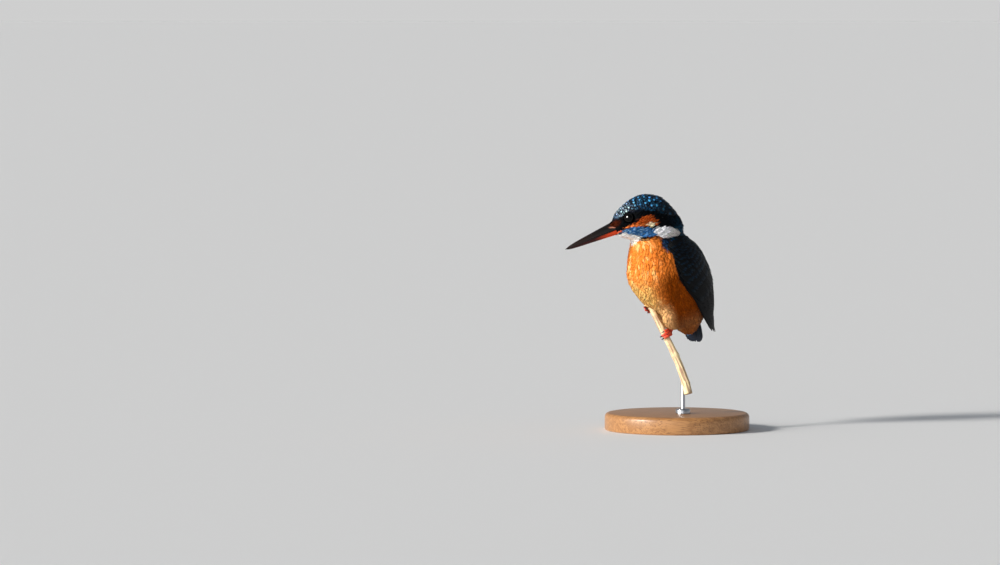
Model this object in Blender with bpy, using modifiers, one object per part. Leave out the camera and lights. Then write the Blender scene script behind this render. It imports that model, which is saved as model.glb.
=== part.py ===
"""Common kingfisher, perched, as a still life-size museum model on a plain display stand.

Everything on the bird is modelled in the bird's own frame: +X the way its breast faces, +Y its left,
+Z up, with the origin on the twig where the left foot grips it. The empty "bird" turns that frame
round and lifts it onto the stand. The stand's frame has +Z up and its origin under the base.
Lengths are in metres, angles in degrees. Run with: blender --background --python part.py
"""

import math

import bmesh
import bpy
from mathutils import Matrix, Vector

MM = 0.001
GAP = 0.3 * MM  # clear space between pieces that touch

# The pose: where the bird's frame stands, and how trunk and head are turned in it.
GRIP_HEIGHT = 66 * MM  # the left foot's grip above the table
GRIP_OFFSET = (-11 * MM, -3 * MM)  # of the bird's frame from the middle of the base
BIRD_HEADING = 225  # from +X, so that the breast faces -X and -Y alike
TRUNK_CENTRE = Vector((-6.4, 0, 38)) * MM
TRUNK_LEAN = 24.9  # of the trunk's axis forward from upright
HEAD_CENTRE = Vector((13.1, 0, 80)) * MM
HEAD_YAW = -33  # the head is turned to the bird's right
HEAD_PITCH = 19  # bill down

# Driving sizes of the species.
BILL_LENGTH = 37.9 * MM  # from the forehead feathers to the tip
BILL_BASE = 24 * MM  # where the bill leaves the face, ahead of the head's centre
GAPE_SINK = 4 * MM  # the bill's root inside the face
BILL_RISE = 1.4 * MM  # of the bill's root over the head's middle line
BILL_DROOP = 2.0  # of the bill from that line
EYE_RADIUS = 3.4 * MM
EYE_PLACE = (14.4 * MM, 8.9 * MM, 6.5 * MM)  # forward, out and up from the head's centre
WING_THICKNESS = 3.0 * MM
WING_TIP_THICKNESS = 1.1 * MM
TAIL_THICKNESS = 1.2 * MM
TARSUS_RADIUS = 1.1 * MM
TOE_RADIUS = 1.15 * MM
CLAW_RADIUS = 0.75 * MM
TWIG_RADIUS = 2.35 * MM
TWIG_LEAN = 29  # from upright
TWIG_HEADING = -66  # the way its upper end leans, from the bird's +X
TWIG_GRIP = Vector((0, 3.5, 0)) * MM  # the middle of the twig in the left foot
TWIG_ABOVE = 26 * MM  # length of twig above the left foot, and below it
TWIG_BELOW = 46 * MM
RIGHT_FOOT_UP = 21.5 * MM  # the right foot grips this much higher along the twig

TWIG_BUDS = (-37 * MM, -15 * MM, 6.5 * MM)
# Where each foot's leg side lies from the twig, and where its ankle is, in the bird's frame.
FOOT_SIDES = {1: (-0.93, 0.37, 0), -1: (-0.99, -0.17, 0)}
ANKLES = {1: (-6, 8, 9), -1: (-7.5, -7.4, 20.6)}
FOOT_WRAP = {1: 1.0, -1: 0.82}
# Toes: distance along the twig from the foot's middle, angles round it from the leg's side, and thickness.
TOES = (
    ("outer", 2.05, 8, 142, 0.95),
    ("middle", 0.0, 4, 154, 1.0),
    ("inner", -2.1, 8, 104, 0.9),
    ("hind", -0.4, -4, -90, 0.95),
)

# The planes that part head from neck, neck from trunk, and coverts from flight feathers.
CHIN_PLANE = -12.5 * MM  # in the head's frame
SHOULDER_PLANE = 24 * MM  # along the trunk's axis
FLIGHT_PLANE = -9 * MM
FLIGHT_SLOPE = 26.6

# Stand sizes.
ROD_DOWN = -31 * MM  # along the twig, from the left foot
BASE_RADIUS = 50 * MM
BASE_HEIGHT = 12 * MM
ROD_RADIUS = 1.5 * MM
COLLAR_RADIUS = 5 * MM
COLLAR_HEIGHT = 3 * MM

# Stations of the trunk, from tail to neck: height along its axis from the trunk's centre, then how far
# its outline lies in front of the axis (belly side), behind it (back side) and to each side.
TRUNK_STATIONS = (
    (-47, 0, 7, 3),
    (-43, 2, 10.5, 7.5),
    (-37, 4.5, 14.5, 12),
    (-30, 9, 21, 17),
    (-20, 16.5, 26.2, 21.5),
    (-8, 23.5, 29, 24.5),
    (3, 27, 28.2, 25.6),
    (14, 26.8, 26.2, 25.2),
    (24, 22.7, 21.9, 22),
    (33, 17.5, 20.3, 18.4),
    (43, 11, 15.5, 14.6),
    (50, 5, 7, 8),
)
# Stations of the head, from nape to bill: distance ahead of the head's centre, then how far its outline
# lies above the centre, below it and to each side.
HEAD_STATIONS = (
    (-21, -5.5, 16, 6.5),
    (-18.8, 2, 17.5, 10.8),
    (-15, 10.4, 17, 13),
    (-7, 16.2, 15.5, 14.2),
    (0, 18.4, 14.2, 14.6),
    (7, 17.6, 12.8, 13.5),
    (13, 16, 11, 12),
    (18, 14.1, 8.6, 9.8),
    (22, 11.8, 6.2, 7.6),
    (25.5, 8.7, 4.2, 5.6),
)
# Stations of a wing, from shoulder to tip: height along the trunk's axis, the angles round the trunk of
# its front and back edges (0 at the belly, 90 at the side, 180 at the back) and its lift off the trunk.
WING_STATIONS = (
    (33, 66, 98, 0.2),
    (29, 58, 122, 0.5),
    (20, 57, 148, 1.0),
    (10, 60, 162, 1.4),
    (0, 65, 168, 1.9),
    (-9, 79, 171, 2.4),
    (-16, 89, 172, 2.8),
    (-24, 96, 172, 3.8),
    (-32, 104, 171, 6.2),
    (-39, 112, 170, 10),
    (-44, 119, 168, 13),
    (-48, 129, 167, 15.2),
    (-50.5, 142, 165, 16.6),
)
# Feathered thighs, left (1) and right (-1): centre in the bird's frame, half sizes and lean.
THIGHS = {1: ((-2.6, 7.2, 10.8), (8, 6.6, 9), 15), -1: ((-7.5, -7.5, 18), (8.5, 7, 8), 30)}
NECK = ((7.2, 0, 72.4), (18, 18, 14), TRUNK_LEAN)
BELLY = ((-11.5, 1.5, 10.5), (11, 11, 8), 25)
# Stations of the tail, from root to tip: distance along it, half width and camber.
TAIL_ROOT = (-34, 11)  # height along the trunk's axis, and distance behind it
TAIL_TURN = 13  # the tail is bent this much forward from the trunk's axis
TAIL_STATIONS = ((0, 7, 1.6), (5, 8.2, 2.0), (10, 8.5, 1.9), (14.5, 8.2, 1.5), (17.5, 6.8, 1.0), (19, 4.2, 0.6))


def clear_scene():
    for old in list(bpy.data.objects):
        bpy.data.objects.remove(old, do_unlink=True)


def collection(name):
    made = bpy.data.collections.new(name)
    bpy.context.scene.collection.children.link(made)
    return made


def material(name, colour, roughness, metallic=0.0):
    made = bpy.data.materials.new(name)
    made.use_nodes = True
    shader = made.node_tree.nodes["Principled BSDF"]
    shader.inputs["Base Color"].default_value = (*colour, 1)
    shader.inputs["Roughness"].default_value = roughness
    shader.inputs["Metallic"].default_value = metallic
    made.diffuse_color = (*colour, 1)
    return made


def smooth_between(stations, at):
    """The stations' other columns at a place in their first column, on a smooth curve through them."""
    places = [row[0] for row in stations]
    rising = places[-1] > places[0]
    rows = stations if rising else tuple(reversed(stations))
    at = min(max(at, rows[0][0]), rows[-1][0])
    i = max(k for k in range(len(rows) - 1) if rows[k][0] <= at)
    low, high = rows[i], rows[i + 1]
    before = rows[i - 1] if i > 0 else low
    after = rows[i + 2] if i + 2 < len(rows) else high
    span = high[0] - low[0]
    t = (at - low[0]) / span
    found = []
    for c in range(1, len(low)):
        start_slope = (high[c] - before[c]) / (high[0] - before[0]) * span
        end_slope = (after[c] - low[c]) / (after[0] - low[0]) * span
        found.append(
            (2 * t**3 - 3 * t**2 + 1) * low[c]
            + (t**3 - 2 * t**2 + t) * start_slope
            + (3 * t**2 - 2 * t**3) * high[c]
            + (t**3 - t**2) * end_slope
        )
    return found


def link(mesh, name, group, finish=None, smooth_angle=40):
    made = bpy.data.objects.new(name, mesh)
    group.objects.link(made)
    if finish:
        mesh.materials.append(finish)
    mesh.shade_smooth()
    mesh.set_sharp_from_angle(angle=math.radians(smooth_angle))
    return made


def wrapped_grid(name, surface, along, around, group, finish=None):
    """A closed form: a flat grid rolled up, where surface(s, turn) gives the point at a share s of the
    form's length and an angle turn round it. The first and last rows shrink to a point each."""
    form = bmesh.new()
    bmesh.ops.create_grid(form, x_segments=along, y_segments=around, size=0.5)
    for vert in form.verts:
        s = vert.co.x + 0.5
        turn = 2 * math.pi * (vert.co.y + 0.5)
        vert.co = surface(min(max(s, 0), 1), turn)
    bmesh.ops.remove_doubles(form, verts=form.verts, dist=1e-6)
    bmesh.ops.dissolve_degenerate(form, edges=form.edges, dist=1e-7)
    bmesh.ops.triangulate(form, faces=form.faces)
    bmesh.ops.recalc_face_normals(form, faces=form.faces)
    mesh = bpy.data.meshes.new(name)
    form.to_mesh(mesh)
    form.free()
    return link(mesh, name, group, finish)


def eased(s):
    """Spreads places along a form so that they crowd towards both rounded ends."""
    return (1 - math.cos(math.pi * s)) / 2


def rounded(s, fullness=6):
    """Closes a form's ends: 1 along its length, and down to 0 at both ends in a rounded way."""
    return math.sqrt(max(0.0, 1 - abs(2 * s - 1) ** fullness))


def curve_tube(name, points, radii, group, finish=None, sides=3):
    """A round tube along points, with a radius at each."""
    curve = bpy.data.curves.new(name, "CURVE")
    curve.dimensions = "3D"
    curve.bevel_depth = 1.0
    curve.bevel_resolution = sides
    curve.use_fill_caps = True
    spline = curve.splines.new("POLY")
    spline.points.add(len(points) - 1)
    for place, point, radius in zip(spline.points, points, radii):
        place.co = (*point, 1)
        place.radius = radius
    made = bpy.data.objects.new(name, curve)
    group.objects.link(made)
    if finish:
        curve.materials.append(finish)
    return made


def as_mesh(made):
    """The object with its modifiers applied, a curve's loose caps welded, as a mesh object."""
    bpy.context.view_layer.update()
    graph = bpy.context.evaluated_depsgraph_get()
    mesh = bpy.data.meshes.new_from_object(made.evaluated_get(graph))
    form = bmesh.new()
    form.from_mesh(mesh)
    bmesh.ops.remove_doubles(form, verts=form.verts, dist=1e-6)
    bmesh.ops.triangulate(form, faces=form.faces)
    bmesh.ops.recalc_face_normals(form, faces=form.faces)
    form.to_mesh(mesh)
    form.free()
    name, group, parent, place = made.name, made.users_collection[0], made.parent, made.matrix_world.copy()
    bpy.data.objects.remove(made)
    solid = link(mesh, name, group)
    solid.parent = parent
    solid.matrix_world = place
    return solid


def swollen(made, by, group):
    """A copy of a piece grown by a clearance on every side, to cut its neighbour with."""
    copy = made.copy()
    copy.data = made.data.copy()
    copy.name = f"cutter_{made.name}"
    group.objects.link(copy)
    grow = copy.modifiers.new("clearance", "DISPLACE")
    grow.mid_level = 0
    grow.strength = by
    copy.hide_render = True
    copy.display_type = "WIRE"
    return copy


def boolean(made, other, operation):
    cut = made.modifiers.new(operation.lower(), "BOOLEAN")
    cut.operation = operation
    cut.solver = "EXACT"
    cut.object = other
    return cut


def joined(pieces):
    """One solid from overlapping pieces, as the first one's object."""
    first = pieces[0]
    for other in pieces[1:]:
        boolean(first, other, "UNION")
    solid = as_mesh(first)
    for other in pieces[1:]:
        bpy.data.objects.remove(other)
    return solid


# Frames of trunk and head inside the bird's frame: each has +X ahead, +Y left, +Z up its own axis.


def trunk_frame():
    return Matrix.Translation(TRUNK_CENTRE) @ Matrix.Rotation(math.radians(TRUNK_LEAN), 4, "Y")


def head_frame():
    yaw = Matrix.Rotation(math.radians(HEAD_YAW), 4, "Z")
    return Matrix.Translation(HEAD_CENTRE) @ yaw @ Matrix.Rotation(math.radians(HEAD_PITCH), 4, "Y")


def trunk_point(height, turn, lift=0.0):
    """A point on the trunk's outline, or lift outside it, at an angle round the trunk from the belly."""
    front, back, side = smooth_between(TRUNK_STATIONS, height / MM)
    middle, deep = (front - back) / 2, (front + back) / 2
    ahead = middle * MM + (deep * MM + lift) * math.cos(turn)
    left = (side * MM + lift) * math.sin(turn)
    return trunk_frame() @ Vector((ahead, left, height))


def make_rounded(centre, size, lean, group):
    """An egg of flesh: its centre in the bird's frame, half sizes, and lean forward."""
    bpy.ops.mesh.primitive_uv_sphere_add(segments=24, ring_count=14, radius=1)
    egg = bpy.context.object
    for old in egg.users_collection:
        old.objects.unlink(egg)
    group.objects.link(egg)
    egg.name = "flesh_part"
    place = Matrix.Translation(Vector(centre) * MM) @ Matrix.Rotation(math.radians(lean), 4, "Y")
    egg.data.transform(place @ Matrix.Diagonal((*(Vector(size) * MM), 1)))
    return egg


def make_flesh(group):
    """Head, neck and trunk as one closed form: two lofts blended by a voxel remesh and smoothed."""
    low, high = TRUNK_STATIONS[0][0] * MM, TRUNK_STATIONS[-1][0] * MM

    def trunk_surface(s, turn):
        height = low + (high - low) * eased(s)
        on_axis = (trunk_point(height, 0) + trunk_point(height, math.pi)) / 2
        return on_axis.lerp(trunk_point(height, turn), rounded(eased(s), 16))

    back, front = HEAD_STATIONS[0][0] * MM, HEAD_STATIONS[-1][0] * MM

    def head_surface(s, turn):
        ahead = back + (front - back) * eased(s)
        top, bottom, side = (x * MM for x in smooth_between(HEAD_STATIONS, ahead / MM))
        middle, tall = (top - bottom) / 2, (top + bottom) / 2
        close = rounded(eased(s), 20)
        up = middle + tall * close * math.cos(turn)
        return head_frame() @ Vector((ahead, side * close * math.sin(turn), up))

    trunk = wrapped_grid("flesh", trunk_surface, 40, 40, group)
    head = wrapped_grid("flesh_head", head_surface, 32, 36, group)
    eggs = [make_rounded(*form, group) for form in (THIGHS[1], THIGHS[-1], NECK, BELLY)]
    flesh = joined([trunk, head, *eggs])
    blend = flesh.modifiers.new("blend", "REMESH")
    blend.mode = "VOXEL"
    blend.voxel_size = 1.0 * MM
    blend.use_smooth_shade = True
    relax = flesh.modifiers.new("relax", "SMOOTH")
    relax.factor = 0.5
    relax.iterations = 26
    fewer = flesh.modifiers.new("fewer", "DECIMATE")
    fewer.ratio = 0.045
    return as_mesh(flesh)


def make_wing(side, name, group, finish):
    """A folded wing: a long shell bent round the flank, from the shoulder to the free wing tip."""
    top, tip = WING_STATIONS[0][0] * MM, WING_STATIONS[-1][0] * MM

    def surface(s, turn):
        share = eased(s)
        height = top + (tip - top) * share
        front, back, lift = smooth_between(WING_STATIONS, height / MM)
        close = rounded(share, 10)
        half = math.radians(back - front) / 2 * close
        angle = math.radians(back + front) / 2 + half * math.cos(turn)
        tuck = 0.9 * (1 - math.cos(turn)) * (1 - share) ** 0.5 * close
        thick = WING_THICKNESS + (WING_TIP_THICKNESS - WING_THICKNESS) * share
        swell = thick / 2 * close * math.copysign(abs(math.sin(turn)) ** 0.7, math.sin(turn))
        lift *= 1 + 0.35 * math.cos(turn) * close * share * (1 - share**4)
        return trunk_point(height, side * angle, (lift - tuck) * MM + swell)

    return wrapped_grid(name, surface, 18, 14, group, finish)


def make_tail(group, finish):
    """The closed tail: a cambered fan with a rounded end."""
    root = Vector((-TAIL_ROOT[1], 0, TAIL_ROOT[0])) * MM
    place = trunk_frame() @ Matrix.Translation(root) @ Matrix.Rotation(math.radians(-TAIL_TURN), 4, "Y")
    length = TAIL_STATIONS[-1][0] * MM

    def surface(s, turn):
        share = eased(s)
        half, camber = (x * MM for x in smooth_between(TAIL_STATIONS, share * length / MM))
        close = rounded(share, 14)
        across = half * close * math.cos(turn)
        bow = camber * (1 - (across / max(half, MM)) ** 2)
        swell = TAIL_THICKNESS / 2 * close * math.sin(turn)
        return place @ Vector((-bow - swell, across, -share * length))

    return wrapped_grid("tail", surface, 11, 14, group, finish)


def make_bill(upper, name, group, finish):
    """One mandible: a straight dagger with a ridge, flat where it meets the other."""
    start, end = BILL_BASE - GAPE_SINK, BILL_BASE + BILL_LENGTH * (1 if upper else 0.975)
    depth, width = (6.2 * MM, 4.6 * MM) if upper else (3.8 * MM, 4.3 * MM)
    way = 1 if upper else -1

    droop = Matrix.Rotation(math.radians(BILL_DROOP), 4, "Y")
    place = head_frame() @ Matrix.Translation((start, 0, BILL_RISE)) @ droop

    def surface(s, turn):
        share = 0 if s < 0.02 else (s - 0.02) / 0.98
        taper = (1 - share) ** 0.68
        taper = 0 if s == 0 else taper
        arch = max(0.0, math.sin(turn)) ** 0.85
        up = way * (GAP / 2 + depth * taper * arch)
        across = width * taper * math.cos(turn) * (1 - 0.18 * share)
        return place @ Vector(((end - start) * share, across, up))

    return wrapped_grid(name, surface, 11, 14, group, finish)


def make_eye(side, name, group, finish):
    bpy.ops.mesh.primitive_uv_sphere_add(segments=14, ring_count=8, radius=EYE_RADIUS)
    eye = bpy.context.object
    eye.name = name
    for old in eye.users_collection:
        old.objects.unlink(eye)
    group.objects.link(eye)
    ahead, out, up = EYE_PLACE
    lying = Matrix.Rotation(math.pi / 2, 4, "X")
    eye.data.transform(head_frame() @ Matrix.Translation((ahead, side * out, up)) @ lying)
    eye.data.materials.append(finish)
    eye.data.shade_smooth()
    return eye


def twig_axes():
    """The twig's direction upward, in the bird's frame."""
    lean, heading = math.radians(TWIG_LEAN), math.radians(TWIG_HEADING)
    return Vector((math.sin(lean) * math.cos(heading), math.sin(lean) * math.sin(heading), math.cos(lean)))


def twig_radius(along):
    """The twig thins upward, with a low swelling at each bud."""
    radius = TWIG_RADIUS - 0.014 * along
    for bud in TWIG_BUDS:
        radius += 0.45 * MM * math.exp(-(((along - bud) / (1.6 * MM)) ** 2))
    return radius


def twig_point(along):
    """The middle of the twig at a distance up it from the left foot: it bends a little below the feet."""
    bend = 0.0068 / MM * max(0.0, -along - 8 * MM) ** 2 * 0.5
    return TWIG_GRIP + twig_axes() * along + Vector((0.7, -0.7, 0)) * bend


def make_twig(group, finish):
    places = [-TWIG_BELOW]
    while places[-1] < TWIG_ABOVE - 0.1 * MM:
        places.append(min(places[-1] + 3 * MM, TWIG_ABOVE))
    return as_mesh(
        curve_tube("perch", [twig_point(a) for a in places], [twig_radius(a) for a in places], group,
                   finish, 3)
    )


def around_twig(along, turn, off, out):
    """A point off the twig's middle, at an angle turn round it from the direction out."""
    axis = twig_axes()
    start = (out - axis * out.dot(axis)).normalized()
    side = axis.cross(start)
    return twig_point(along) + (start * math.cos(turn) + side * math.sin(turn)) * off


def make_foot(side, group, foot_finish, claw_finish):
    """Four toes round the twig from the leg's side of it, with their claws as pieces of their own."""
    label = "left" if side > 0 else "right"
    grip = 0 if side > 0 else RIGHT_FOOT_UP
    out = Vector(FOOT_SIDES[side])
    toes, claws = [], []
    for name, offset, start, end, thick in TOES:
        along = grip - side * offset * MM
        off = TWIG_RADIUS + GAP + TOE_RADIUS * thick + 0.15 * MM
        first, last = math.radians(start) * -side, math.radians(end * FOOT_WRAP[side]) * -side
        points, radii = [], []
        count = 7
        for i in range(count):
            share = i / (count - 1)
            turn = first + (last - first) * share
            spread = along + (grip - along) * 0.35 * (1 - share) ** 2
            knuckle = 0.12 * math.cos(6 * math.pi * share)
            points.append(around_twig(spread, turn, off, out))
            radii.append(TOE_RADIUS * thick * (1.05 - 0.32 * share + knuckle * 0.4))
        toes.append(as_mesh(curve_tube(f"foot_{label}", points, radii, group, foot_finish, 1)))
        way = 1 if last > first else -1
        points, radii = [], []
        for i in range(5):
            share = i / 4
            turn = last + way * (math.radians(6.5) + math.radians(46) * share)
            points.append(around_twig(along, turn, off - 0.25 * MM * math.sin(math.pi * share), out))
            radii.append(CLAW_RADIUS * thick * (1 - 0.82 * share**1.2))
        claws.append(as_mesh(curve_tube(f"claw_{label}_{name}", points, radii, group, claw_finish, 1)))
    palm = around_twig(grip, 0, TWIG_RADIUS + GAP + TOE_RADIUS * 1.2, out)
    heel = palm + (Vector(ANKLES[side]) * MM - palm).normalized() * 2.2 * MM
    stub_ends = [palm - (heel - palm) * 0.2, heel]
    stub = as_mesh(curve_tube("palm", stub_ends, [1.5 * MM, 1.15 * MM], group, foot_finish, 3))
    room = [swollen(piece, GAP, helpers) for piece in (stub, *toes)]
    foot = joined([stub, *toes])
    foot.name = f"foot_{label}"
    return foot, claws, palm, heel, room


def make_leg(side, palm, heel, group, finish):
    """The bare shank, from just above the foot into the thigh's feathers."""
    label = "left" if side > 0 else "right"
    ankle = Vector(ANKLES[side]) * MM
    way = (ankle - palm).normalized()
    low = heel + way * GAP
    points = [low, low.lerp(ankle, 0.5), ankle]
    return as_mesh(curve_tube(f"leg_{label}", points, [1.1 * MM, 1.05 * MM, 1.3 * MM], group, finish, 3))


def half_spaces(place):
    """Two big boxes, above and below the plane at the frame's middle, that share the clearance there."""
    pair = []
    for way in (-1, 1):
        form = bmesh.new()
        bmesh.ops.create_cube(form, size=0.4)
        mesh = bpy.data.meshes.new("cutter_half")
        form.to_mesh(mesh)
        form.free()
        mesh.transform(place @ Matrix.Translation((0, 0, way * (0.2 - GAP / 2))))
        box = link(mesh, "cutter_half", helpers)
        box.hide_render = True
        box.display_type = "WIRE"
        pair.append(box)
    return pair[::-1]


def parted(whole, name, removed, group, finish):
    """A copy of a piece without what lies inside the given boxes."""
    copy = whole.copy()
    copy.data = whole.data.copy()
    copy.name = name
    group.objects.link(copy)
    for box in removed:
        boolean(copy, box, "DIFFERENCE")
    copy.data.materials.clear()
    copy.data.materials.append(finish)
    return copy


def make_base(group, finish):
    """A turned disc with a rounded top edge: a profile spun round by a Screw modifier."""
    profile = bpy.data.meshes.new("stand_base")
    form = bmesh.new()
    r, h, e = BASE_RADIUS, BASE_HEIGHT, 2.5 * MM
    outline = [(0, 0, h), (r - e, 0, h)]
    for a in (math.pi / 6, math.pi / 3, math.pi / 2):
        outline.append((r - e + e * math.sin(a), 0, h - e + e * math.cos(a)))
    outline += [(r, 0, 0.8 * MM), (r - 0.8 * MM, 0, 0), (0, 0, 0)]
    verts = [form.verts.new(p) for p in outline]
    for a, b in zip(verts, verts[1:]):
        form.edges.new((a, b))
    form.to_mesh(profile)
    form.free()
    base = link(profile, "stand_base", group, finish)
    spin = base.modifiers.new("turned", "SCREW")
    spin.steps = spin.render_steps = 48
    spin.use_merge_vertices = True
    spin.merge_threshold = 0.00001
    spin.use_normal_calculate = True
    return as_mesh(base)


def make_rod(top, group, finish):
    """A straight rod with a low collar on the base, turned from a profile: its top is inside the twig."""
    profile = bpy.data.meshes.new("stand_rod")
    form = bmesh.new()
    low, e, c = GAP, 0.6 * MM, COLLAR_HEIGHT
    tall = top.z - BASE_HEIGHT
    outline = [(0, tall), (ROD_RADIUS - 0.3 * MM, tall), (ROD_RADIUS, tall - 0.3 * MM)]
    outline.append((ROD_RADIUS, c + 1.2 * MM))
    outline += [(ROD_RADIUS + 0.4 * MM, c + 0.3 * MM), (ROD_RADIUS + 1.3 * MM, c), (COLLAR_RADIUS - e, c)]
    outline += [(COLLAR_RADIUS, c - e), (COLLAR_RADIUS, low), (0, low)]
    verts = [form.verts.new((r, 0, z)) for r, z in outline]
    for a, b in zip(verts, verts[1:]):
        form.edges.new((a, b))
    form.to_mesh(profile)
    form.free()
    rod = link(profile, "stand_rod", group, finish)
    spin = rod.modifiers.new("turned", "SCREW")
    spin.steps = spin.render_steps = 16
    spin.use_merge_vertices = True
    spin.merge_threshold = 0.00001
    spin.use_normal_calculate = True
    rod.location = (top.x, top.y, BASE_HEIGHT)
    return as_mesh(rod)


clear_scene()
bird_parts = collection("kingfisher")
helpers = collection("cutters")

orange = material("orange_plumage", (0.55, 0.16, 0.02), 0.8)
blue = material("blue_plumage", (0.01, 0.06, 0.14), 0.6)
dark_blue = material("wing_plumage", (0.008, 0.02, 0.045), 0.6)
horn = material("bill_horn", (0.012, 0.01, 0.01), 0.35)
red_horn = material("bill_base", (0.2, 0.03, 0.015), 0.35)
red_skin = material("foot_skin", (0.55, 0.06, 0.02), 0.45)
claw_horn = material("claw_horn", (0.02, 0.015, 0.012), 0.35)
eye_glass = material("eye", (0.004, 0.003, 0.003), 0.05)
bark = material("bark", (0.32, 0.22, 0.15), 0.85)
wood = material("stand_wood", (0.16, 0.09, 0.05), 0.4)
steel = material("stand_steel", (0.6, 0.6, 0.6), 0.3, 1.0)

# Flesh, still one form, and every piece that is let into it.
flesh = make_flesh(helpers)
wings = [make_wing(1, "wing_left", bird_parts, dark_blue), make_wing(-1, "wing_right", bird_parts, dark_blue)]
tail = make_tail(bird_parts, dark_blue)
bills = [
    make_bill(True, "bill_upper", bird_parts, horn),
    make_bill(False, "bill_lower", bird_parts, red_horn),
]
eyes = [make_eye(side, f"eye_{label}", bird_parts, eye_glass) for side, label in ((1, "left"), (-1, "right"))]
perch = make_twig(bird_parts, bark)
feet, claws, legs, rooms = [], [], [], []
for side in (1, -1):
    foot, own_claws, palm, heel, room = make_foot(side, bird_parts, red_skin, claw_horn)
    feet.append(foot)
    claws += own_claws
    rooms += room
    legs.append(make_leg(side, palm, heel, bird_parts, red_skin))

for piece in (*wings, tail, *bills, *eyes, *legs, *claws, perch):
    rooms.append(swollen(piece, GAP, helpers))
for room in rooms:
    boolean(flesh, room, "DIFFERENCE")
flesh = as_mesh(flesh)

# Head, neck and trunk are cut apart by two planes, and each wing is parted into its arm with the coverts
# and its long flight feathers.
chin_slope = Matrix.Rotation(math.radians(10), 4, "Y")
chin = half_spaces(head_frame() @ Matrix.Translation((0, 0, CHIN_PLANE)) @ chin_slope)
shoulder = half_spaces(trunk_frame() @ Matrix.Translation((0, 0, SHOULDER_PLANE)))
head = parted(flesh, "head", [chin[1]], bird_parts, blue)
neck = parted(flesh, "neck", [chin[0], shoulder[1]], bird_parts, orange)
trunk = parted(flesh, "trunk", [shoulder[0]], bird_parts, orange)
bpy.data.objects.remove(flesh)
slope = Matrix.Rotation(math.radians(FLIGHT_SLOPE), 4, "Y")
coverts = half_spaces(trunk_frame() @ Matrix.Translation((0, 0, FLIGHT_PLANE)) @ slope)
flights = []
for wing, label in zip(list(wings), ("left", "right")):
    flights.append(parted(wing, f"flight_{label}", [coverts[0]], bird_parts, dark_blue))
    boolean(wing, coverts[1], "DIFFERENCE")

BIRD = bpy.data.objects.new("bird", None)
bird_parts.objects.link(BIRD)
BIRD.location = (*GRIP_OFFSET, GRIP_HEIGHT)
BIRD.rotation_euler = (0, 0, math.radians(BIRD_HEADING))
for piece in (head, neck, trunk, *wings, *flights, tail, *bills, *eyes, *legs, *feet, *claws, perch):
    piece.parent = BIRD
for helper in helpers.objects:
    helper.parent = BIRD

# The stand: a round wooden base, and a steel rod that rises into a hole drilled in the twig.
bpy.context.view_layer.update()
base = make_base(bird_parts, wood)
rod = make_rod(BIRD.matrix_world @ twig_point(ROD_DOWN), bird_parts, steel)
boolean(perch, swollen(rod, GAP, helpers), "DIFFERENCE")
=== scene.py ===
# %% [markdown]
# # A common kingfisher on a cut twig
# The solids of the bird, its twig and its stand come in as a fixed frame, in metres, each in its true place.
# This script dresses them: a skin under the coat, thousands of small feathers, the long feathers of wings
# and tail, a glossy eye and bill, scaly feet, bark, oak and steel. Each cell makes one thing and says what
# it made, so the script can be read, and run, from top to bottom.

# %% The frame
import math

import bmesh
import bpy
import numpy as np
from mathutils import Matrix, Vector, kdtree, noise
from mathutils.bvhtree import BVHTree


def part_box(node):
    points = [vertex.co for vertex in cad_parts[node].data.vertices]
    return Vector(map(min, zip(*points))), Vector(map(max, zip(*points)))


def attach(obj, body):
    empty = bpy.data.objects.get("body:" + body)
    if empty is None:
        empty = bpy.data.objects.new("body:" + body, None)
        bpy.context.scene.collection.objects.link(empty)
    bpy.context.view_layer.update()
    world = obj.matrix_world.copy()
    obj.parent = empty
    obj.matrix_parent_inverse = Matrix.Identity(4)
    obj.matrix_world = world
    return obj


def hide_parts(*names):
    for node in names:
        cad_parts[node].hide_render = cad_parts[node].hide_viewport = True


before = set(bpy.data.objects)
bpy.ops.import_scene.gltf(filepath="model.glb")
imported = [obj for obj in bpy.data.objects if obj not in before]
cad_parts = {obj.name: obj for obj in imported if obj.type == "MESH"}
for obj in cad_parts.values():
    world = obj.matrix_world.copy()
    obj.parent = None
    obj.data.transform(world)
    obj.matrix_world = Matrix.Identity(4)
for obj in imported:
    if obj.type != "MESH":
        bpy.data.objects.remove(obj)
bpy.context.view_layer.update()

MM = 0.001

# %% [markdown]
# ## Where the bird's parts lie
# A bird is easier to paint in its own directions than in the room's. The trunk leans, and the head is turned
# and tipped on top of it, so each gets a frame of its own: the trunk's axis runs up its back, and the head's
# first axis runs out along the bill. All places below are in millimetres in one of these frames.

# %% Frames of the trunk, the head and the tail
def shifted(x, y, z):
    return Matrix.Translation(Vector((x, y, z)) * MM)


def turned(axis, degrees):
    return Matrix.Rotation(math.radians(degrees), 4, axis)


BIRD = shifted(-11, -3, 66) @ turned("Z", 225)
TRUNK = BIRD @ shifted(-6.4, 0, 38) @ turned("Y", 24.9)
HEAD = BIRD @ shifted(13.1, 0, 80) @ turned("Z", -33) @ turned("Y", 19)
TAIL = TRUNK @ shifted(-11, 0, -34) @ turned("Y", -13)


def seen_from(place, points):
    """Points of the room, as an array in metres, given in a part's own frame in millimetres."""
    back = np.array(place.inverted())
    return (points @ back[:3, :3].T + back[:3, 3]) / MM


def put_from(place, points):
    """The other way: millimetres in a part's frame become metres in the room."""
    there = np.array(place)
    return (points * MM) @ there[:3, :3].T + there[:3, 3]


def direction(place, x, y, z):
    """A direction in a part's frame, as it runs in the room."""
    return np.array((place.to_3x3() @ Vector((x, y, z))).normalized())


def turn_of(trunk):
    """How far round the trunk each of its points lies from the breast, in degrees, positive on the left."""
    return np.degrees(np.arctan2(trunk[:, 1], trunk[:, 0]))


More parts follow.
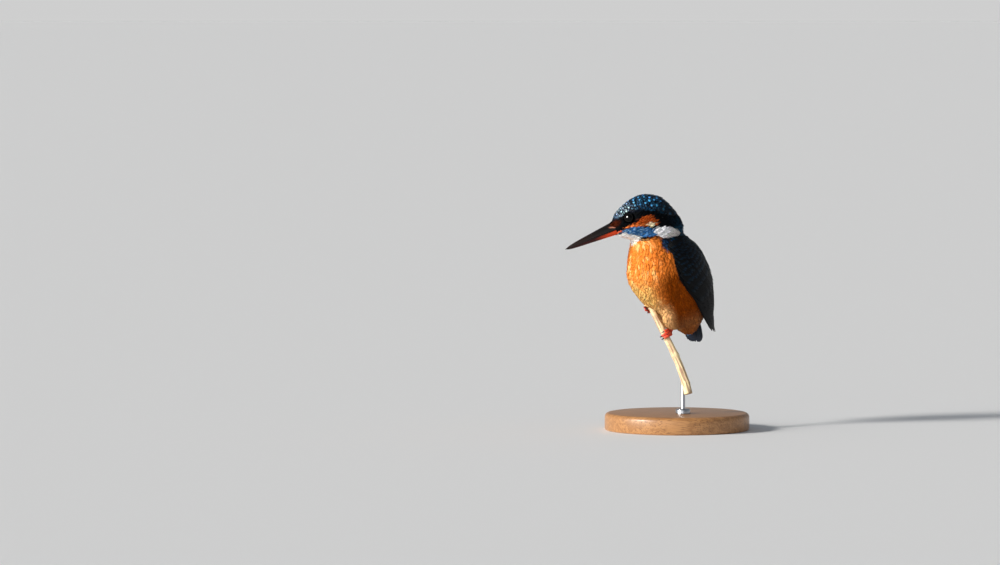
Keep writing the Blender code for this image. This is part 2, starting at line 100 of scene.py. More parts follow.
def noise_at(points, scale):
    """Smooth noise, one number for each point."""
    return np.array([noise.noise(Vector(p) * scale) for p in points])


def ramp(value, start, end):
    """0 before start, 1 past end, with a soft slope between. End may be below start."""
    share = np.clip((value - start) / (end - start), 0, 1)
    return share * share * (3 - 2 * share)


def unit(rows):
    """Rows of vectors, each made one long."""
    return rows / np.maximum(np.linalg.norm(rows, axis=1, keepdims=True), 1e-12)


def ink(red, green, blue):
    """A colour as a painter mixes it, 0 to 255 each, made linear for the shader."""
    parts = [c / 255 for c in (red, green, blue)]
    return np.array([c / 12.92 if c < 10 / 255 else ((c + 0.055) / 1.055) ** 2.4 for c in parts])


print("the bill points to", [round(float(x), 2) for x in direction(HEAD, 1, 0, 0)])

# %% [markdown]
# ## Where each colour of the plumage lies
# A kingfisher's pattern is one of clear fields: a spotted crown, a black mask through the eye, an orange
# cheek with a buff spot at its end, a blue stripe down from the gape, white chin and neck patches, an orange
# breast and an azure back. One function answers for any point of the body, so that the skin and the feathers
# over it always agree. Edges are given as short lines in the head's frame, and mixed softly across.
# Some light is painted in too: sheen on the breast, shade on flanks, vent and neck patch, paler brow spots.

# %% Palette
CROWN, CROWN_SPOT, BROW_SPOT_HIGHLIGHT = ink(7, 15, 30), ink(70, 156, 214), ink(196, 226, 250)
NAPE, NAPE_SPOT = ink(5, 9, 13), ink(22, 86, 118)
MASK, LORE, GAPE = ink(4, 6, 9), ink(60, 17, 0), ink(214, 96, 62)
CHEEK, WARM, BUFF = ink(154, 52, 3), ink(236, 124, 58), ink(255, 232, 176)
STRIPE, STRIPE_SPOT = ink(44, 96, 150), ink(150, 190, 224)
WHITE, LILAC_WHITE, WHITE_IN_PAINTED_SHADE = ink(255, 255, 252), ink(250, 248, 252), ink(190, 176, 164)
BREAST, AMBER, RUFOUS_AND_PAINTED_SHADE = ink(250, 138, 52), ink(255, 196, 110), ink(138, 62, 2)
PAINTED_SHEEN = ink(255, 206, 136)
BELLY, VENT_WITH_PAINTED_SHADE = ink(212, 166, 112), ink(150, 84, 34)
SHOULDER = ink(20, 24, 34)
MANTLE, MANTLE_SPOT = ink(7, 22, 32), ink(18, 82, 112)
AZURE, AZURE_SPOT = ink(24, 132, 200), ink(92, 202, 244)


def mixed(colours, other, share):
    """Rows of colour, each mixed with another by its own share."""
    share = share[:, None]
    return colours * (1 - share) + other * share


def line(ahead, *places):
    """A line through given places, such as the height of an edge at each distance ahead."""
    places = sorted(places)
    return np.interp(ahead, [p[0] for p in places], [p[1] for p in places])


def blob(x, y, centre, size, tilt=0.0, edge=0.25):
    """1 inside a tilted oval and 0 outside it."""
    c, s = math.cos(math.radians(tilt)), math.sin(math.radians(tilt))
    dx, dy = x - centre[0], y - centre[1]
    far = np.hypot((dx * c + dy * s) / size[0], (dy * c - dx * s) / size[1])
    return ramp(far, 1 + edge, 1 - edge)


# %% The pattern
CHIN_LINE = ((13.7, -6.7), (16.3, -5))  # where the stripe, the chin and the jaw share one edge


def plumage(points):
    """Base colour, colour of the spot at a feather's tip, and the strength of that spot, for body points."""
    head, trunk = seen_from(HEAD, points), seen_from(TRUNK, points)
    ahead, side, above = head[:, 0], np.abs(head[:, 1]), head[:, 2]
    height, turn = trunk[:, 2], turn_of(trunk)
    wobble = noise_at(points, 260) * 0.9

    def field(share, own, tip, strength=None):
        """Lays a field of colour and its tip spots over what is there, where share says so."""
        nonlocal base, spot, strong
        base, spot = mixed(base, own, share), mixed(spot, tip, share)
        if strength is not None:
            strong = strong * (1 - share) + strength * share

    # the trunk first: orange in front, azure down the back
    base = np.repeat(BREAST[None], len(points), 0)
    low_down = ramp(height, 16, 0)
    # flanks darken to rust: partly own rufous, partly painted shade; it starts later on the right, nearer
    # the light
    flank = ramp(np.where(turn > 0, turn, -turn - 16), 22 - 10 * low_down, 58 - 12 * low_down)
    base = mixed(base, AMBER, ramp(height + 6 * wobble, 17, 2) * ramp(turn, 38, 2) * 0.95)
    # painted highlight: pale streaks of sheen down the breast, kept off the flanks
    sheen_streak = noise_at(trunk * (0.4, 0.4, 0.13), 1)
    base = mixed(base, PAINTED_SHEEN, ramp(sheen_streak, 0.05, 0.5) * (1 - flank) * 0.55)
    base = mixed(base, RUFOUS_AND_PAINTED_SHADE, flank * (0.5 + 0.5 * ramp(height, 20, 6)))
    middle_belly = np.maximum(ramp(turn, 46, 24), ramp(height, -18, -40) * 0.45)
    base = mixed(base, BELLY, ramp(height + 5 * wobble, -4, -15) * middle_belly * ramp(-turn, 80, 60) * 0.85)
    # darker orange-brown at the bottom of the trunk: partly the vent's own colour, partly painted shade
    # under the body
    base = mixed(base, VENT_WITH_PAINTED_SHADE, ramp(height, -28, -40) * 0.9)
    # the same noise makes the trunk lighter and darker in long patches, a painted sheen and shade
    base = np.clip(base * (1 + 0.3 * sheen_streak[:, None]), 0, 1)
    spot, strong = base * 1.25, np.full(len(points), 0.25)

    # the neck twists with the turned head, and the orange front twists with it
    middle = -33 * ramp(height, 24, 42)
    reach = np.interp(height, [20, 27, 30, 34, 38], [100, 64, 69, 80, 92])
    reach = np.where(turn - middle > 0, reach, reach * (0.94 + 0.2 * ramp(height, 31, 28)))
    behind = ramp(np.abs(turn - middle) + 4 * wobble, reach - 3, reach + 3) * ramp(height, 22, 25)
    behind = np.maximum(behind, ramp(np.abs(turn), 102, 112) * ramp(height, -5, 5))
    field(behind, MANTLE, MANTLE_SPOT, 0.55)
    shoulder = (72, np.where(turn > 0, 30.5, 32.5))
    field(blob(np.where(turn > 0, turn, -turn - 10), height, shoulder, (13, 5.2)), SHOULDER, STRIPE)
    field(ramp(np.abs(turn), 128, 150) * ramp(height, 31, 22), AZURE, AZURE_SPOT, 0.7)

    # the head: dark and spotted above, then each field from the crown down
    jaw = line(ahead, (-30, -9), (-3, -9), (2, -10.2), (6, -10), (10, -9), *CHIN_LINE, (20, -2.4), (30, -1))
    cap = ramp(above + 0.5 * wobble, jaw - 0.5, jaw + 0.5) * ramp(height, 36, 39)
    cap = np.maximum(cap, ramp(height, 44, 47))
    nape = ramp(ahead - 1.2 * np.clip(12 - above, 0, 8), -5, -19)
    field(cap, CROWN, CROWN_SPOT, 0.3 - 0.15 * nape + 0.3 * ramp(ahead, 8, 16) * ramp(ahead, 23, 19))
    # painted highlight: the crown's spots grow paler towards the forehead, which faces the light
    spot = mixed(spot, BROW_SPOT_HIGHLIGHT, cap * ramp(ahead, 5, 16) * (0.3 + 0.7 * ramp(ahead, 23, 19)))
    field(cap * nape, NAPE, NAPE_SPOT)

    brow = line(ahead, (30, 9), (21, 8.8), (16, 9.8), (12, 9.4), (7, 9.6), (2, 8.6), (-3, 5.6), (-7, 2),
                (-14, 0))
    mask = ramp(above + 0.5 * wobble, brow + 0.6, brow - 0.8) * ramp(height, 36, 39) * ramp(ahead, -20, -8)
    field(mask, MASK, MASK)

    top = line(ahead, (30, 1.4), (19, 1.4), (14.7, 1.9), (11.2, 2.2), (9.5, 3.7), (6, 4.6), (0.7, 4.1),
               (-3.2, 1.2), (-4.4, -1.4))
    low = line(ahead, (30, 0.4), (19, 0.5), (15, 0.3), (10.8, -0.8), (5.2, -2.4), (0.2, -4), (-5, -4))
    cheek = ramp(above, top + 0.35, top - 0.35) * ramp(above, low - 0.35, low + 0.35)
    cheek = cheek * ramp(ahead, -3.6, -2.4) * ramp(ahead, 20.6, 19)
    field(cheek, CHEEK, WARM, 0.3)
    base = mixed(base, WARM, cheek * ramp(above - low, 2.6, 0.4) * ramp(ahead, 2, 8))
    buff = blob(ahead, above, (1.9, -2.4), (2.9, 1.5), 12)
    field(buff, BUFF, WHITE)

    upper = line(ahead, (30, -0.6), (21.6, -0.5), (15.2, 0.1), (10.9, -0.9), (5.4, -3.3), (0.2, -6.5),
                 (-2, -8))
    lower = line(ahead, (30, -1.2), (20.1, -2.4), *CHIN_LINE, (9.9, -9), (6, -10), (2.4, -10.4), (0, -8.6))
    waved = above + 0.4 * wobble
    stripe = ramp(waved, upper + 0.3, upper - 0.3) * ramp(waved, lower - 0.4, lower + 0.3)
    stripe = stripe * ramp(ahead, -0.6, 0.6) * ramp(ahead, 23, 20.5) * ramp(side, 3.2, 5)
    fleck = ramp(noise_at(head, 1.1), -0.1, 0.35) * (0.35 + 0.65 * ramp(ahead, 4, 12))
    field(stripe, STRIPE, STRIPE_SPOT, fleck * 0.7)

    bib_end = -14.8 + 5.0 * np.clip(side / 8, 0, 1.2) ** 2
    bib_back = 10.5 + 1.1 * np.clip(-9.5 - above, 0, 9)
    waved = above + 0.5 * wobble
    bib = ramp(waved, lower + 0.4, lower - 0.4) * ramp(waved, bib_end - 0.7, bib_end + 0.7)
    bib = bib * ramp(ahead, bib_back - 1, bib_back + 1)
    field(bib, WHITE, WHITE)
    flash = blob(ahead, above, (-7.2, -11.0), (9.2, 4.2 - 0.1 * np.clip(-4 - ahead, 0, 12)), 25, 0.12)
    # painted shade: the back and the lower edge of the white neck patch are greyed, where they turn from the
    # light
    shade = np.maximum(ramp(ahead, -7, -15), ramp(above + 0.35 * ahead, -13.6, -16.4) * 0.8)
    field(flash, LILAC_WHITE, WHITE)
    base, spot = mixed(base, WHITE_IN_PAINTED_SHADE, flash * shade * 0.75), mixed(spot, WHITE_IN_PAINTED_SHADE, flash * shade * 0.6)
    strong = np.where(bib + flash + buff > 0.5, 0.3, strong)
    field(blob(ahead, above, (24.2, 5.5), (3.4, 2.2), -20, 0.5) * ramp(side, 0.8, 2.0), LORE, LORE)
    field(blob(ahead, above, (22.9, -0.7), (1.7, 0.6)), GAPE, GAPE)
    return base, spot, strong


print("pattern on the breast:", plumage(put_from(TRUNK, np.array([[26.0, 0.0, 15.0]])))[0].round(3))

# %% [markdown]
# ## The skin
# Under the coat lies one closed skin, with no seam between head, neck, trunk and wing arms. The solids end
# where the feathers end, so the skin is drawn in from them by the depth of the coat: half a millimetre on
# the face, and more than one on the body. A voxel remesh melts the pieces into one, which no stitching of
# their triangles could do as cleanly. Colour on its points comes from the same pattern as the coat.

# %% Copies of the solids
def mesh_of(whole, name="held"):
    """Turns a bmesh into a mesh, and lets the bmesh go."""
    mesh = bpy.data.meshes.new(name)
    whole.to_mesh(mesh)
    whole.free()
    return mesh


def join(whole, mesh):
    """Adds a mesh to a bmesh, and lets the mesh go."""
    whole.from_mesh(mesh)
    bpy.data.meshes.remove(mesh)


def copy_of(*names, swell=0.0):
    """One mesh of several solids, merged along their triangles, each swollen a little."""
    whole = bmesh.new()
    for name in names:
        part = bmesh.new()
        part.from_mesh(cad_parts[name].data)
        bmesh.ops.remove_doubles(part, verts=part.verts, dist=1e-6)
        part.normal_update()
        for v in part.verts:
            v.co += v.normal * swell
        join(whole, mesh_of(part))
    return whole


def tree_of(*names):
    """A search tree over several solids."""
    whole = copy_of(*names)
    bmesh.ops.triangulate(whole, faces=whole.faces)
    tree = BVHTree.FromBMesh(whole)
    whole.free()
    return tree


def piece(name, mesh, finish=None, stands_for=()):
    """Puts a finished mesh in the scene as a piece that rides on the bird's only body."""
    made = bpy.data.objects.new(name, mesh)
    bpy.context.scene.collection.objects.link(made)
    if finish:
        mesh.materials.append(finish.made)
    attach(made, "root")
    if stands_for:
        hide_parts(*stands_for)
    return made


def applied(made):
    """A piece's mesh with its modifiers worked in."""
    bpy.context.view_layer.update()
    result = bpy.data.meshes.new_from_object(made.evaluated_get(bpy.context.evaluated_depsgraph_get()))
    made.modifiers.clear()
    old, made.data = made.data, result
    bpy.data.meshes.remove(old)
    return result


def smoothed(mesh, times, chosen=lambda v: True):
    """Eases the chosen points of a mesh towards their neighbours, many times over."""
    whole = bmesh.new()
    whole.from_mesh(mesh)
    verts = [v for v in whole.verts if chosen(v)]
    axes = {f"use_axis_{axis}": True for axis in "xyz"}
    for _ in range(times):
        bmesh.ops.smooth_vert(whole, verts=verts, factor=0.5, **axes)
    whole.normal_update()
    whole.to_mesh(mesh)
    whole.free()


def remeshed(name, source, voxel, smooth):
    """A closed skin over everything in a bmesh, at the size of a voxel, then smoothed."""
    made = bpy.data.objects.new(name, mesh_of(source, name))
    bpy.context.scene.collection.objects.link(made)
    melt = made.modifiers.new("melt", "REMESH")
    melt.mode, melt.voxel_size = "VOXEL", voxel
    mesh = applied(made)
    bpy.data.objects.remove(made)
    smoothed(mesh, smooth)
    return mesh


print("can copy and melt together", len(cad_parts), "solids")

# %% The body melted into one
FLESH = ("head", "neck", "trunk", "wing_left", "wing_right")
SWOLLEN = 0.25 * MM  # the solids swell by this before they melt together, and are drawn in by it again


def bill_root(reach):
    """The first millimetres of the bill, which the feathers of lore and chin grow out over."""
    root = copy_of("bill_upper", "bill_lower")
    everything = root.verts[:] + root.edges[:] + root.faces[:]
    end = HEAD @ (Vector((reach, 0, 0)) * MM)
    bmesh.ops.bisect_plane(root, geom=everything, plane_co=end, plane_no=HEAD.col[0].xyz, clear_outer=True)
    bmesh.ops.holes_fill(root, edges=[e for e in root.edges if e.is_boundary])
    return mesh_of(root)


body = copy_of(*FLESH, swell=SWOLLEN)
join(body, bill_root(30))
skin_mesh = remeshed("skin", body, 0.7 * MM, 4)
back_in = TRUNK.inverted()  # thighs and belly run into one another under long soft feathers
smoothed(skin_mesh, 30, lambda v: (back_in @ v.co).z < -13 * MM)
print("skin:", len(skin_mesh.vertices), "points")


# %% Drawing the skin in by the coat's depth
def rows_of(mesh, what="vertices", field="co", width=3, kind=np.float64):
    """One field of a mesh's points, corners or faces, as rows of an array."""
    found = np.empty(len(getattr(mesh, what)) * width, kind)
    getattr(mesh, what).foreach_get(field, found)
    return found.reshape(-1, width)


wing_tree = tree_of("wing_left", "wing_right", "flight_left", "flight_right")
body_tree, head_and_body_tree = tree_of("neck", "trunk"), tree_of("head", "neck", "trunk")


def distance(tree, points):
    """How far each point is from the solids in a tree."""
    return np.array([tree.find_nearest(Vector(p))[3] for p in points])


def from_the_bill(points):
    """How far each point is from the middle of the bill's root, in millimetres."""
    return np.linalg.norm(seen_from(HEAD, points) - (23, 0, 1), axis=1)


def coat_depth(points):
    """How far the feathers stand out from the skin, in metres."""
    return (0.45 + 0.75 * ramp(from_the_bill(points), 6, 40)) * MM


points, normals = rows_of(skin_mesh), rows_of(skin_mesh, field="normal")
near_wing = distance(wing_tree, points) < distance(body_tree, points)
depth = coat_depth(points)
depth[near_wing] = 0.75 * MM
drawn = points - normals * (depth + SWOLLEN)[:, None]
skin_mesh.vertices.foreach_set("co", drawn.ravel())
skin_mesh.update()
print("coat depth from", round(depth.min() / MM, 2), "to", round(depth.max() / MM, 2), "mm")

# %% The unwrap that every feather finds its place on
skin = piece("skin", skin_mesh)
bpy.context.view_layer.objects.active = skin
skin.select_set(True)
bpy.ops.object.mode_set(mode="EDIT")
bpy.ops.mesh.select_all(action="SELECT")
bpy.ops.uv.smart_project(angle_limit=math.radians(66), island_margin=0.004)
bpy.ops.object.mode_set(mode="OBJECT")
skin.select_set(False)
skin_mesh = skin.data
skin_mesh.uv_layers[0].name = "OFBake"
skin_mesh.shade_smooth()
print("unwrapped", len(skin_mesh.polygons), "faces")


# %% The skin as something to lay feathers on
class Ground:
    """A surface that can say, for many points at once, where they land on it and which way is out."""

    def __init__(self, mesh, uv=None):
        mesh.calc_loop_triangles()
        self.co, self.out = rows_of(mesh), rows_of(mesh, field="normal")
        self.tris = rows_of(mesh, "loop_triangles", "vertices", 3, np.int32)
        corners = rows_of(mesh, "loop_triangles", "loops", 3, np.int32)
        self.tree = BVHTree.FromPolygons(self.co.tolist(), self.tris.tolist())
        self.uv = rows_of(mesh.uv_layers[uv], "data", "uv", 2)[corners] if uv else None

    def weights(self, points, faces):
        """How near each point is to each corner of its triangle."""
        a, b, c = (self.co[self.tris[faces, i]] for i in range(3))
        u, v, w = b - a, c - a, points - a
        uu, uv, vv, wu, wv = ((x * y).sum(1) for x, y in ((u, u), (u, v), (v, v), (w, u), (w, v)))
        low = np.maximum(uu * vv - uv * uv, 1e-24)
        second, third = (vv * wu - uv * wv) / low, (uu * wv - uv * wu) / low
        return np.clip(np.stack([1 - second - third, second, third], 1), 0, 1)

    def land(self, points):
        """The nearest places on the surface, their outward directions and their triangles."""
        found = [self.tree.find_nearest(Vector(p)) for p in points]
        spots = np.array([f[0] for f in found])
        faces = np.array([f[2] for f in found])
        share = self.weights(spots, faces)
        return spots, unit((self.out[self.tris[faces]] * share[..., None]).sum(1)), faces

    def patch(self, points):
        """Each point's place on the unwrap."""
        spots, _, faces = self.land(points)
        return (self.uv[faces] * self.weights(spots, faces)[..., None]).sum(1)


ground = Ground(skin_mesh, "OFBake")
print("ground:", len(ground.tris), "triangles")

# %% [markdown]
# ## One small feather
# A feather here is a thin closed vane: a grid of a few faces, given a back face and edges. Its tip is cut
# ragged, as loose barbs are. Every point keeps two numbers: how far out from the shaft it is, and how far
# along. A coat is this one feather laid thousands of times over the skin, each copy bent to lie on it, so
# the template has only a few dozen faces.

# %% Feather templates
class Vane:
    """A feather's shape in numbers: across from -1 to 1, along from 0 to 1, and which points are on top."""

    def __init__(self, columns, rows, ragged=0.0, seed=1, waist=0.5, root=0.22, tip=0.35):
        sheet = bmesh.new()
        bmesh.ops.create_grid(sheet, x_segments=columns, y_segments=rows, size=1)
        bmesh.ops.solidify(sheet, geom=sheet.faces[:], thickness=0.5)
        bmesh.ops.recalc_face_normals(sheet, faces=sheet.faces)
        sheet.verts.index_update()
        co = np.array([v.co for v in sheet.verts])
        faces = [[v.index for v in f.verts] for f in sheet.faces]
        sheet.free()
        self.across, self.along, self.count = co[:, 0], (co[:, 1] + 1) / 2, len(co)
        self.upper = co[:, 2] > (co[:, 2].max() + co[:, 2].min()) / 2
        self.loops = np.array([v for f in faces for v in f], np.int32)
        self.sizes = np.array([len(f) for f in faces], np.int32)
        keys = [(round(a, 4), round(b, 4)) for a, b in zip(self.across, self.along)]
        tops = {keys[i]: k for k, i in enumerate(np.flatnonzero(self.upper))}
        self.twins = [tops[keys[i]] for i in np.flatnonzero(~self.upper)]
        dice = np.random.default_rng(seed)
        full = np.interp(self.along, [0, waist, 1], [root, 1, tip])
        self.width = np.sqrt(np.clip(full, 0, 1))
        ends = {round(x, 3): dice.uniform(-ragged, ragged) for x in sorted(set(self.across.round(3)))}
        self.reach = self.along * (1 - 0.14 * self.across**2)
        self.reach += self.along**4 * np.array([ends[round(x, 3)] for x in self.across])

    def outlined(self, widths, blunt):
        """The same grid, with its width given at places along it, and a blunter tip."""
        self.width = np.interp(self.along, *zip(*widths))
        self.reach = self.along * (1 - blunt * self.across**2)
        return self

    def closed(self, above, below):
        """All the points of many feathers, from the upper face of each and what lies right under it."""
        where = np.zeros((len(above), self.count, 3))
        where[:, self.upper], where[:, ~self.upper] = above, below[:, self.twins]
        return where


CROWN_VANE = Vane(2, 3, waist=0.6, root=0.3, tip=0.5)
SPOT_VANE = Vane(4, 5, waist=0.7, root=0.2, tip=0.45)
BODY_VANES = [Vane(3, 4, ragged=0.22, seed=s, waist=0.45, tip=0.22) for s in (3, 4, 5, 6)]
FACE_VANE = Vane(2, 2, ragged=0.1, waist=0.5, tip=0.25)
print("a body feather has", int((BODY_VANES[0].sizes - 2).sum()), "triangles")


# %% Laying many copies of one feather
BAKE_SPAN = 0.0015  # half the side of a small feather's patch on the bake map


def tinted(mesh, label, rows):
    """Writes a colour and its fourth number on every point of a mesh."""
    mesh.color_attributes.new(label, "FLOAT_COLOR", "POINT").data.foreach_set("color", rows.ravel())


def marked(mesh, label, values):
    """Writes one number on every point of a mesh."""
    mesh.attributes.new(label, "FLOAT", "POINT").data.foreach_set("value", values)


class Coat:
    """Gathers feathers laid with one or more templates, and joins them into one mesh."""

    def __init__(self):
        self.parts = []

    def lay(self, vane, where, uv, base, spot, strong):
        """Adds feathers whose points, one row per feather, are already in place."""
        self.parts.append((vane, where, uv, base, spot, strong))

    def mesh(self, name):
        made = bpy.data.meshes.new(name)
        co, loops, sizes, bake, vane_uv, base_rows, spot_rows = [], [], [], [], [], [], []
        first = 0
        for vane, where, uv, base, spot, strong in self.parts:
            many = len(where)
            co.append(where.reshape(-1, 3))
            starts = first + np.arange(many) * vane.count
            loops.append((vane.loops[None] + starts[:, None]).ravel())
            sizes.append(np.tile(vane.sizes, many))
            place = np.stack([vane.across, vane.along * 2 - 1], 1)[vane.loops] * BAKE_SPAN
            bake.append((np.clip(uv, 0.002, 0.998)[:, None] + place[None]).reshape(-1, 2))
            own = np.stack([vane.across * 0.5 + 0.5, vane.along], 1)[vane.loops]
            vane_uv.append(np.tile(own, (many, 1)))
            base_rows.append(np.repeat(np.c_[base, np.ones(many)], vane.count, 0))
            spot_rows.append(np.repeat(np.c_[spot, strong], vane.count, 0))
            first += many * vane.count
        co, loops, sizes = np.concatenate(co), np.concatenate(loops), np.concatenate(sizes)
        made.vertices.add(len(co))
        made.vertices.foreach_set("co", co.ravel())
        made.loops.add(len(loops))
        made.loops.foreach_set("vertex_index", loops.astype(np.int32))
        made.polygons.add(len(sizes))
        made.polygons.foreach_set("loop_start", (np.cumsum(sizes) - sizes).astype(np.int32))
        made.update(calc_edges=True)
        for label, rows in (("OFBake", bake), ("Vane", vane_uv)):
            made.uv_layers.new(name=label).data.foreach_set("uv", np.concatenate(rows).ravel())
        tinted(made, "plumage", np.concatenate(base_rows))
        tinted(made, "spot", np.concatenate(spot_rows))
        made.shade_smooth()
        made.validate()
        return made


print("a feather's patch on the bake map is", 2 * BAKE_SPAN, "wide")


# %% Bending feathers to a surface
def bent_on(surface, vane, roots, ways, lengths, widths, low, high, thick, cup=0.25):
    """The points of many feathers that start at roots, run along ways, and lie on a surface.
    Low and high are the lifts off the surface at root and tip, and cup is how far the edges hang below."""
    _, out, _ = surface.land(roots)
    beside = unit(np.cross(out, ways))
    reach = vane.reach[vane.upper]
    across = (vane.across * vane.width)[vane.upper]
    flat = (
        roots[:, None]
        + ways[:, None] * (reach[None, :, None] * lengths[:, None, None])
        + beside[:, None] * (across[None, :, None] * widths[:, None, None] / 2)
    )
    spots, outs, _ = surface.land(flat.reshape(-1, 3))
    spots, outs = spots.reshape(flat.shape), outs.reshape(flat.shape)
    lift = low[:, None] + (high - low)[:, None] * reach[None]
    lift = lift - (cup * thick) * across[None] ** 2
    under = lift - thick * (1 - 0.4 * reach[None])
    return vane.closed(spots + outs * lift[..., None], spots + outs * under[..., None])


print("a feather is bent at", int(BODY_VANES[0].upper.sum()), "points")


# %% [markdown]
# ## How the coat lies, and how closely
# Feathers run back from the bill over the face and crown, turn down the nape and throat, and stream along
# the trunk to the tail. They are shortest at the bill and longest on the belly. Roots are scattered evenly
# by dropping many points at random and keeping only those far enough from the ones kept before, which leaves
# no rows that a real coat wouldn't show.

# %% The lie of the coat
ankles = put_from(BIRD, np.array([(-6, 8, 9), (-7.5, -7.4, 20.6)], float))
THROWN = 170000  # points thrown at the surface; only those far enough apart are kept


def lie(points, out):
    """The direction each feather runs in, along the skin."""
    head, trunk = seen_from(HEAD, points), seen_from(TRUNK, points)
    back = -direction(HEAD, 1, 0, 0) + 0.12 * direction(HEAD, 0, 0, 1)
    down = -direction(TRUNK, 0, 0, 1)
    turning = np.maximum(ramp(-head[:, 0], -2, 19), ramp(-head[:, 2], 7, 17))
    turning = np.maximum(turning, ramp(trunk[:, 2], 40, 33))
    way = back[None] * (1 - turning)[:, None] + down[None] * turning[:, None]
    way -= direction(TRUNK, 1, 0, 0)[None] * (0.9 * ramp(-trunk[:, 2], 20, 44))[:, None]
    for ankle in ankles:
        to = ankle[None] + down[None] * 2 * MM - points
        near = ramp(np.linalg.norm(to, axis=1) / MM, 13, 6)
        way = way * (1 - 0.8 * near)[:, None] + unit(to) * (0.8 * near)[:, None]
    way -= out * (way * out).sum(1, keepdims=True)
    return unit(way)


def closeness(points):
    """The gap between neighbouring roots, in metres."""
    head = seen_from(HEAD, points)
    gap = np.interp(from_the_bill(points), [0, 5, 14, 28, 44, 60], [0.5, 0.66, 0.92, 1.1, 1.12, 1.2])
    crown = ramp(head[:, 2], 6, 10) * ramp(head[:, 0], 22, 14) * ramp(-head[:, 0], 20, 10)
    gap = gap * (1 + 0.35 * crown)
    for ankle in ankles:
        gap = gap * (1 - 0.35 * ramp(np.linalg.norm(points - ankle[None], axis=1) / MM, 14, 6))
    return gap * MM


def kept_apart(points, gaps):
    """Which of many points to keep, the first come first, so that none is nearer another than its gap."""
    tree = kdtree.KDTree(len(points))
    for i, p in enumerate(points):
        tree.insert(p, i)
    tree.balance()
    state = np.zeros(len(points), np.int8)
    for i in range(len(points)):
        if state[i] == 0:
            state[i] = 1
            for _, j, _ in tree.find_range(points[i], gaps[i]):
                if state[j] == 0:
                    state[j] = 2
    return state == 1


def scattered(surface, wanted, seed):
    """Roots spread evenly over the parts of a surface where wanted says so."""
    dice = np.random.default_rng(seed)
    a, b, c = (surface.co[surface.tris[:, i]] for i in range(3))
    area = np.linalg.norm(np.cross(b - a, c - a), axis=1)
    faces = dice.choice(len(area), THROWN, p=area / area.sum())
    u, v = dice.random((2, len(faces)))
    u, v = np.where(u + v > 1, 1 - u, u), np.where(u + v > 1, 1 - v, v)
    found = a[faces] + (b - a)[faces] * u[:, None] + (c - a)[faces] * v[:, None]
    found = found[wanted(found)]
    return found[kept_apart(found, closeness(found))]


bill_and_crown = put_from(HEAD, np.array([[23.0, 0.0, 1.0], [0.0, 0.0, 12.0]]))
print("gaps at the bill and on the crown, in mm:", (closeness(bill_and_crown) / MM).round(2))


# %% Where the coat ends, and where it stands proud
def front_edge(above):
    """How far ahead the face's feathers reach over the bill: furthest at the lore and under the chin."""
    return line(above, (-4, 28), (-2.4, 27), (-1, 24.6), (3.4, 24.6), (4.4, 27), (5.6, 28), (7.5, 26.5))


def before_the_wing(points, margin):
    """True ahead of the line where the breast's feathers end and the wing's begin."""
    trunk = seen_from(TRUNK, points)
    edge = line(trunk[:, 2], (-10, 79), (-2, 67), (6, 61), (16, 62), (27, 68), (31, 72))
    return (np.abs(turn_of(trunk)) < edge - margin) & (trunk[:, 2] < 31)


def off_the_wings(points):
    """True where the coat is the body's own: not under a wing, in an eye or out on the bill."""
    clear = distance(head_and_body_tree, points) < distance(wing_tree, points)
    clear |= before_the_wing(points, 3)
    head = seen_from(HEAD, points)
    clear &= head[:, 0] < front_edge(head[:, 2])
    for eye in EYES.values():
        clear &= np.linalg.norm(points - eye[None], axis=1) > EYE_GAP
    return clear


def proud(points):
    """Extra lift of the coat, in metres: over the bill's root, and in the hollow between nape and mantle."""
    head, trunk = seen_from(HEAD, points), seen_from(TRUNK, points)
    turn = np.abs(turn_of(trunk))
    over_bill = 0.95 * ramp(head[:, 0], 22.4, 24.6)
    fluff = ramp(turn, 70, 120) * ramp(trunk[:, 2], 28, 36) * ramp(trunk[:, 2], 50, 40)
    top = ramp(head[:, 2], 8, 14) * ramp(head[:, 0], 20, 10)
    return (over_bill + 1.1 * fluff + 0.45 * top) * MM


def clear_of_eyes(points, way, length):
    """Cuts a feather short where it would run out over an eye."""
    for eye in EYES.values():
        to = eye[None] - points
        along = (to * way).sum(1)
        aside = (to * to).sum(1) - along**2
        enters = along - np.sqrt(np.clip(LID_REACH**2 - aside, 0, None))
        meets = (along > 0) & (aside < LID_REACH**2)
        length = np.where(meets, np.clip(enters, 0.3 * length, length), length)
    return length


EYES = dict(zip(("left", "right"), put_from(HEAD, np.array([[14.4, 8.9, 6.5], [14.4, -8.9, 6.5]]))))
EYE_GAP, LID_REACH = 3.15 * MM, 2.95 * MM
roots = scattered(ground, off_the_wings, 11)
print(len(roots), "feather roots on the body")

# %% [markdown]
# ## Finishes of the plumage
# Barbs leave the shaft at a slant, so a stripe pattern folded about the shaft draws them, as colour and as
# bump. The tip spot is a short band near the end of the vane, which is what makes a kingfisher's crown look
# scaled. Both patterns follow the feather's own map, never the room, so they turn with each feather.

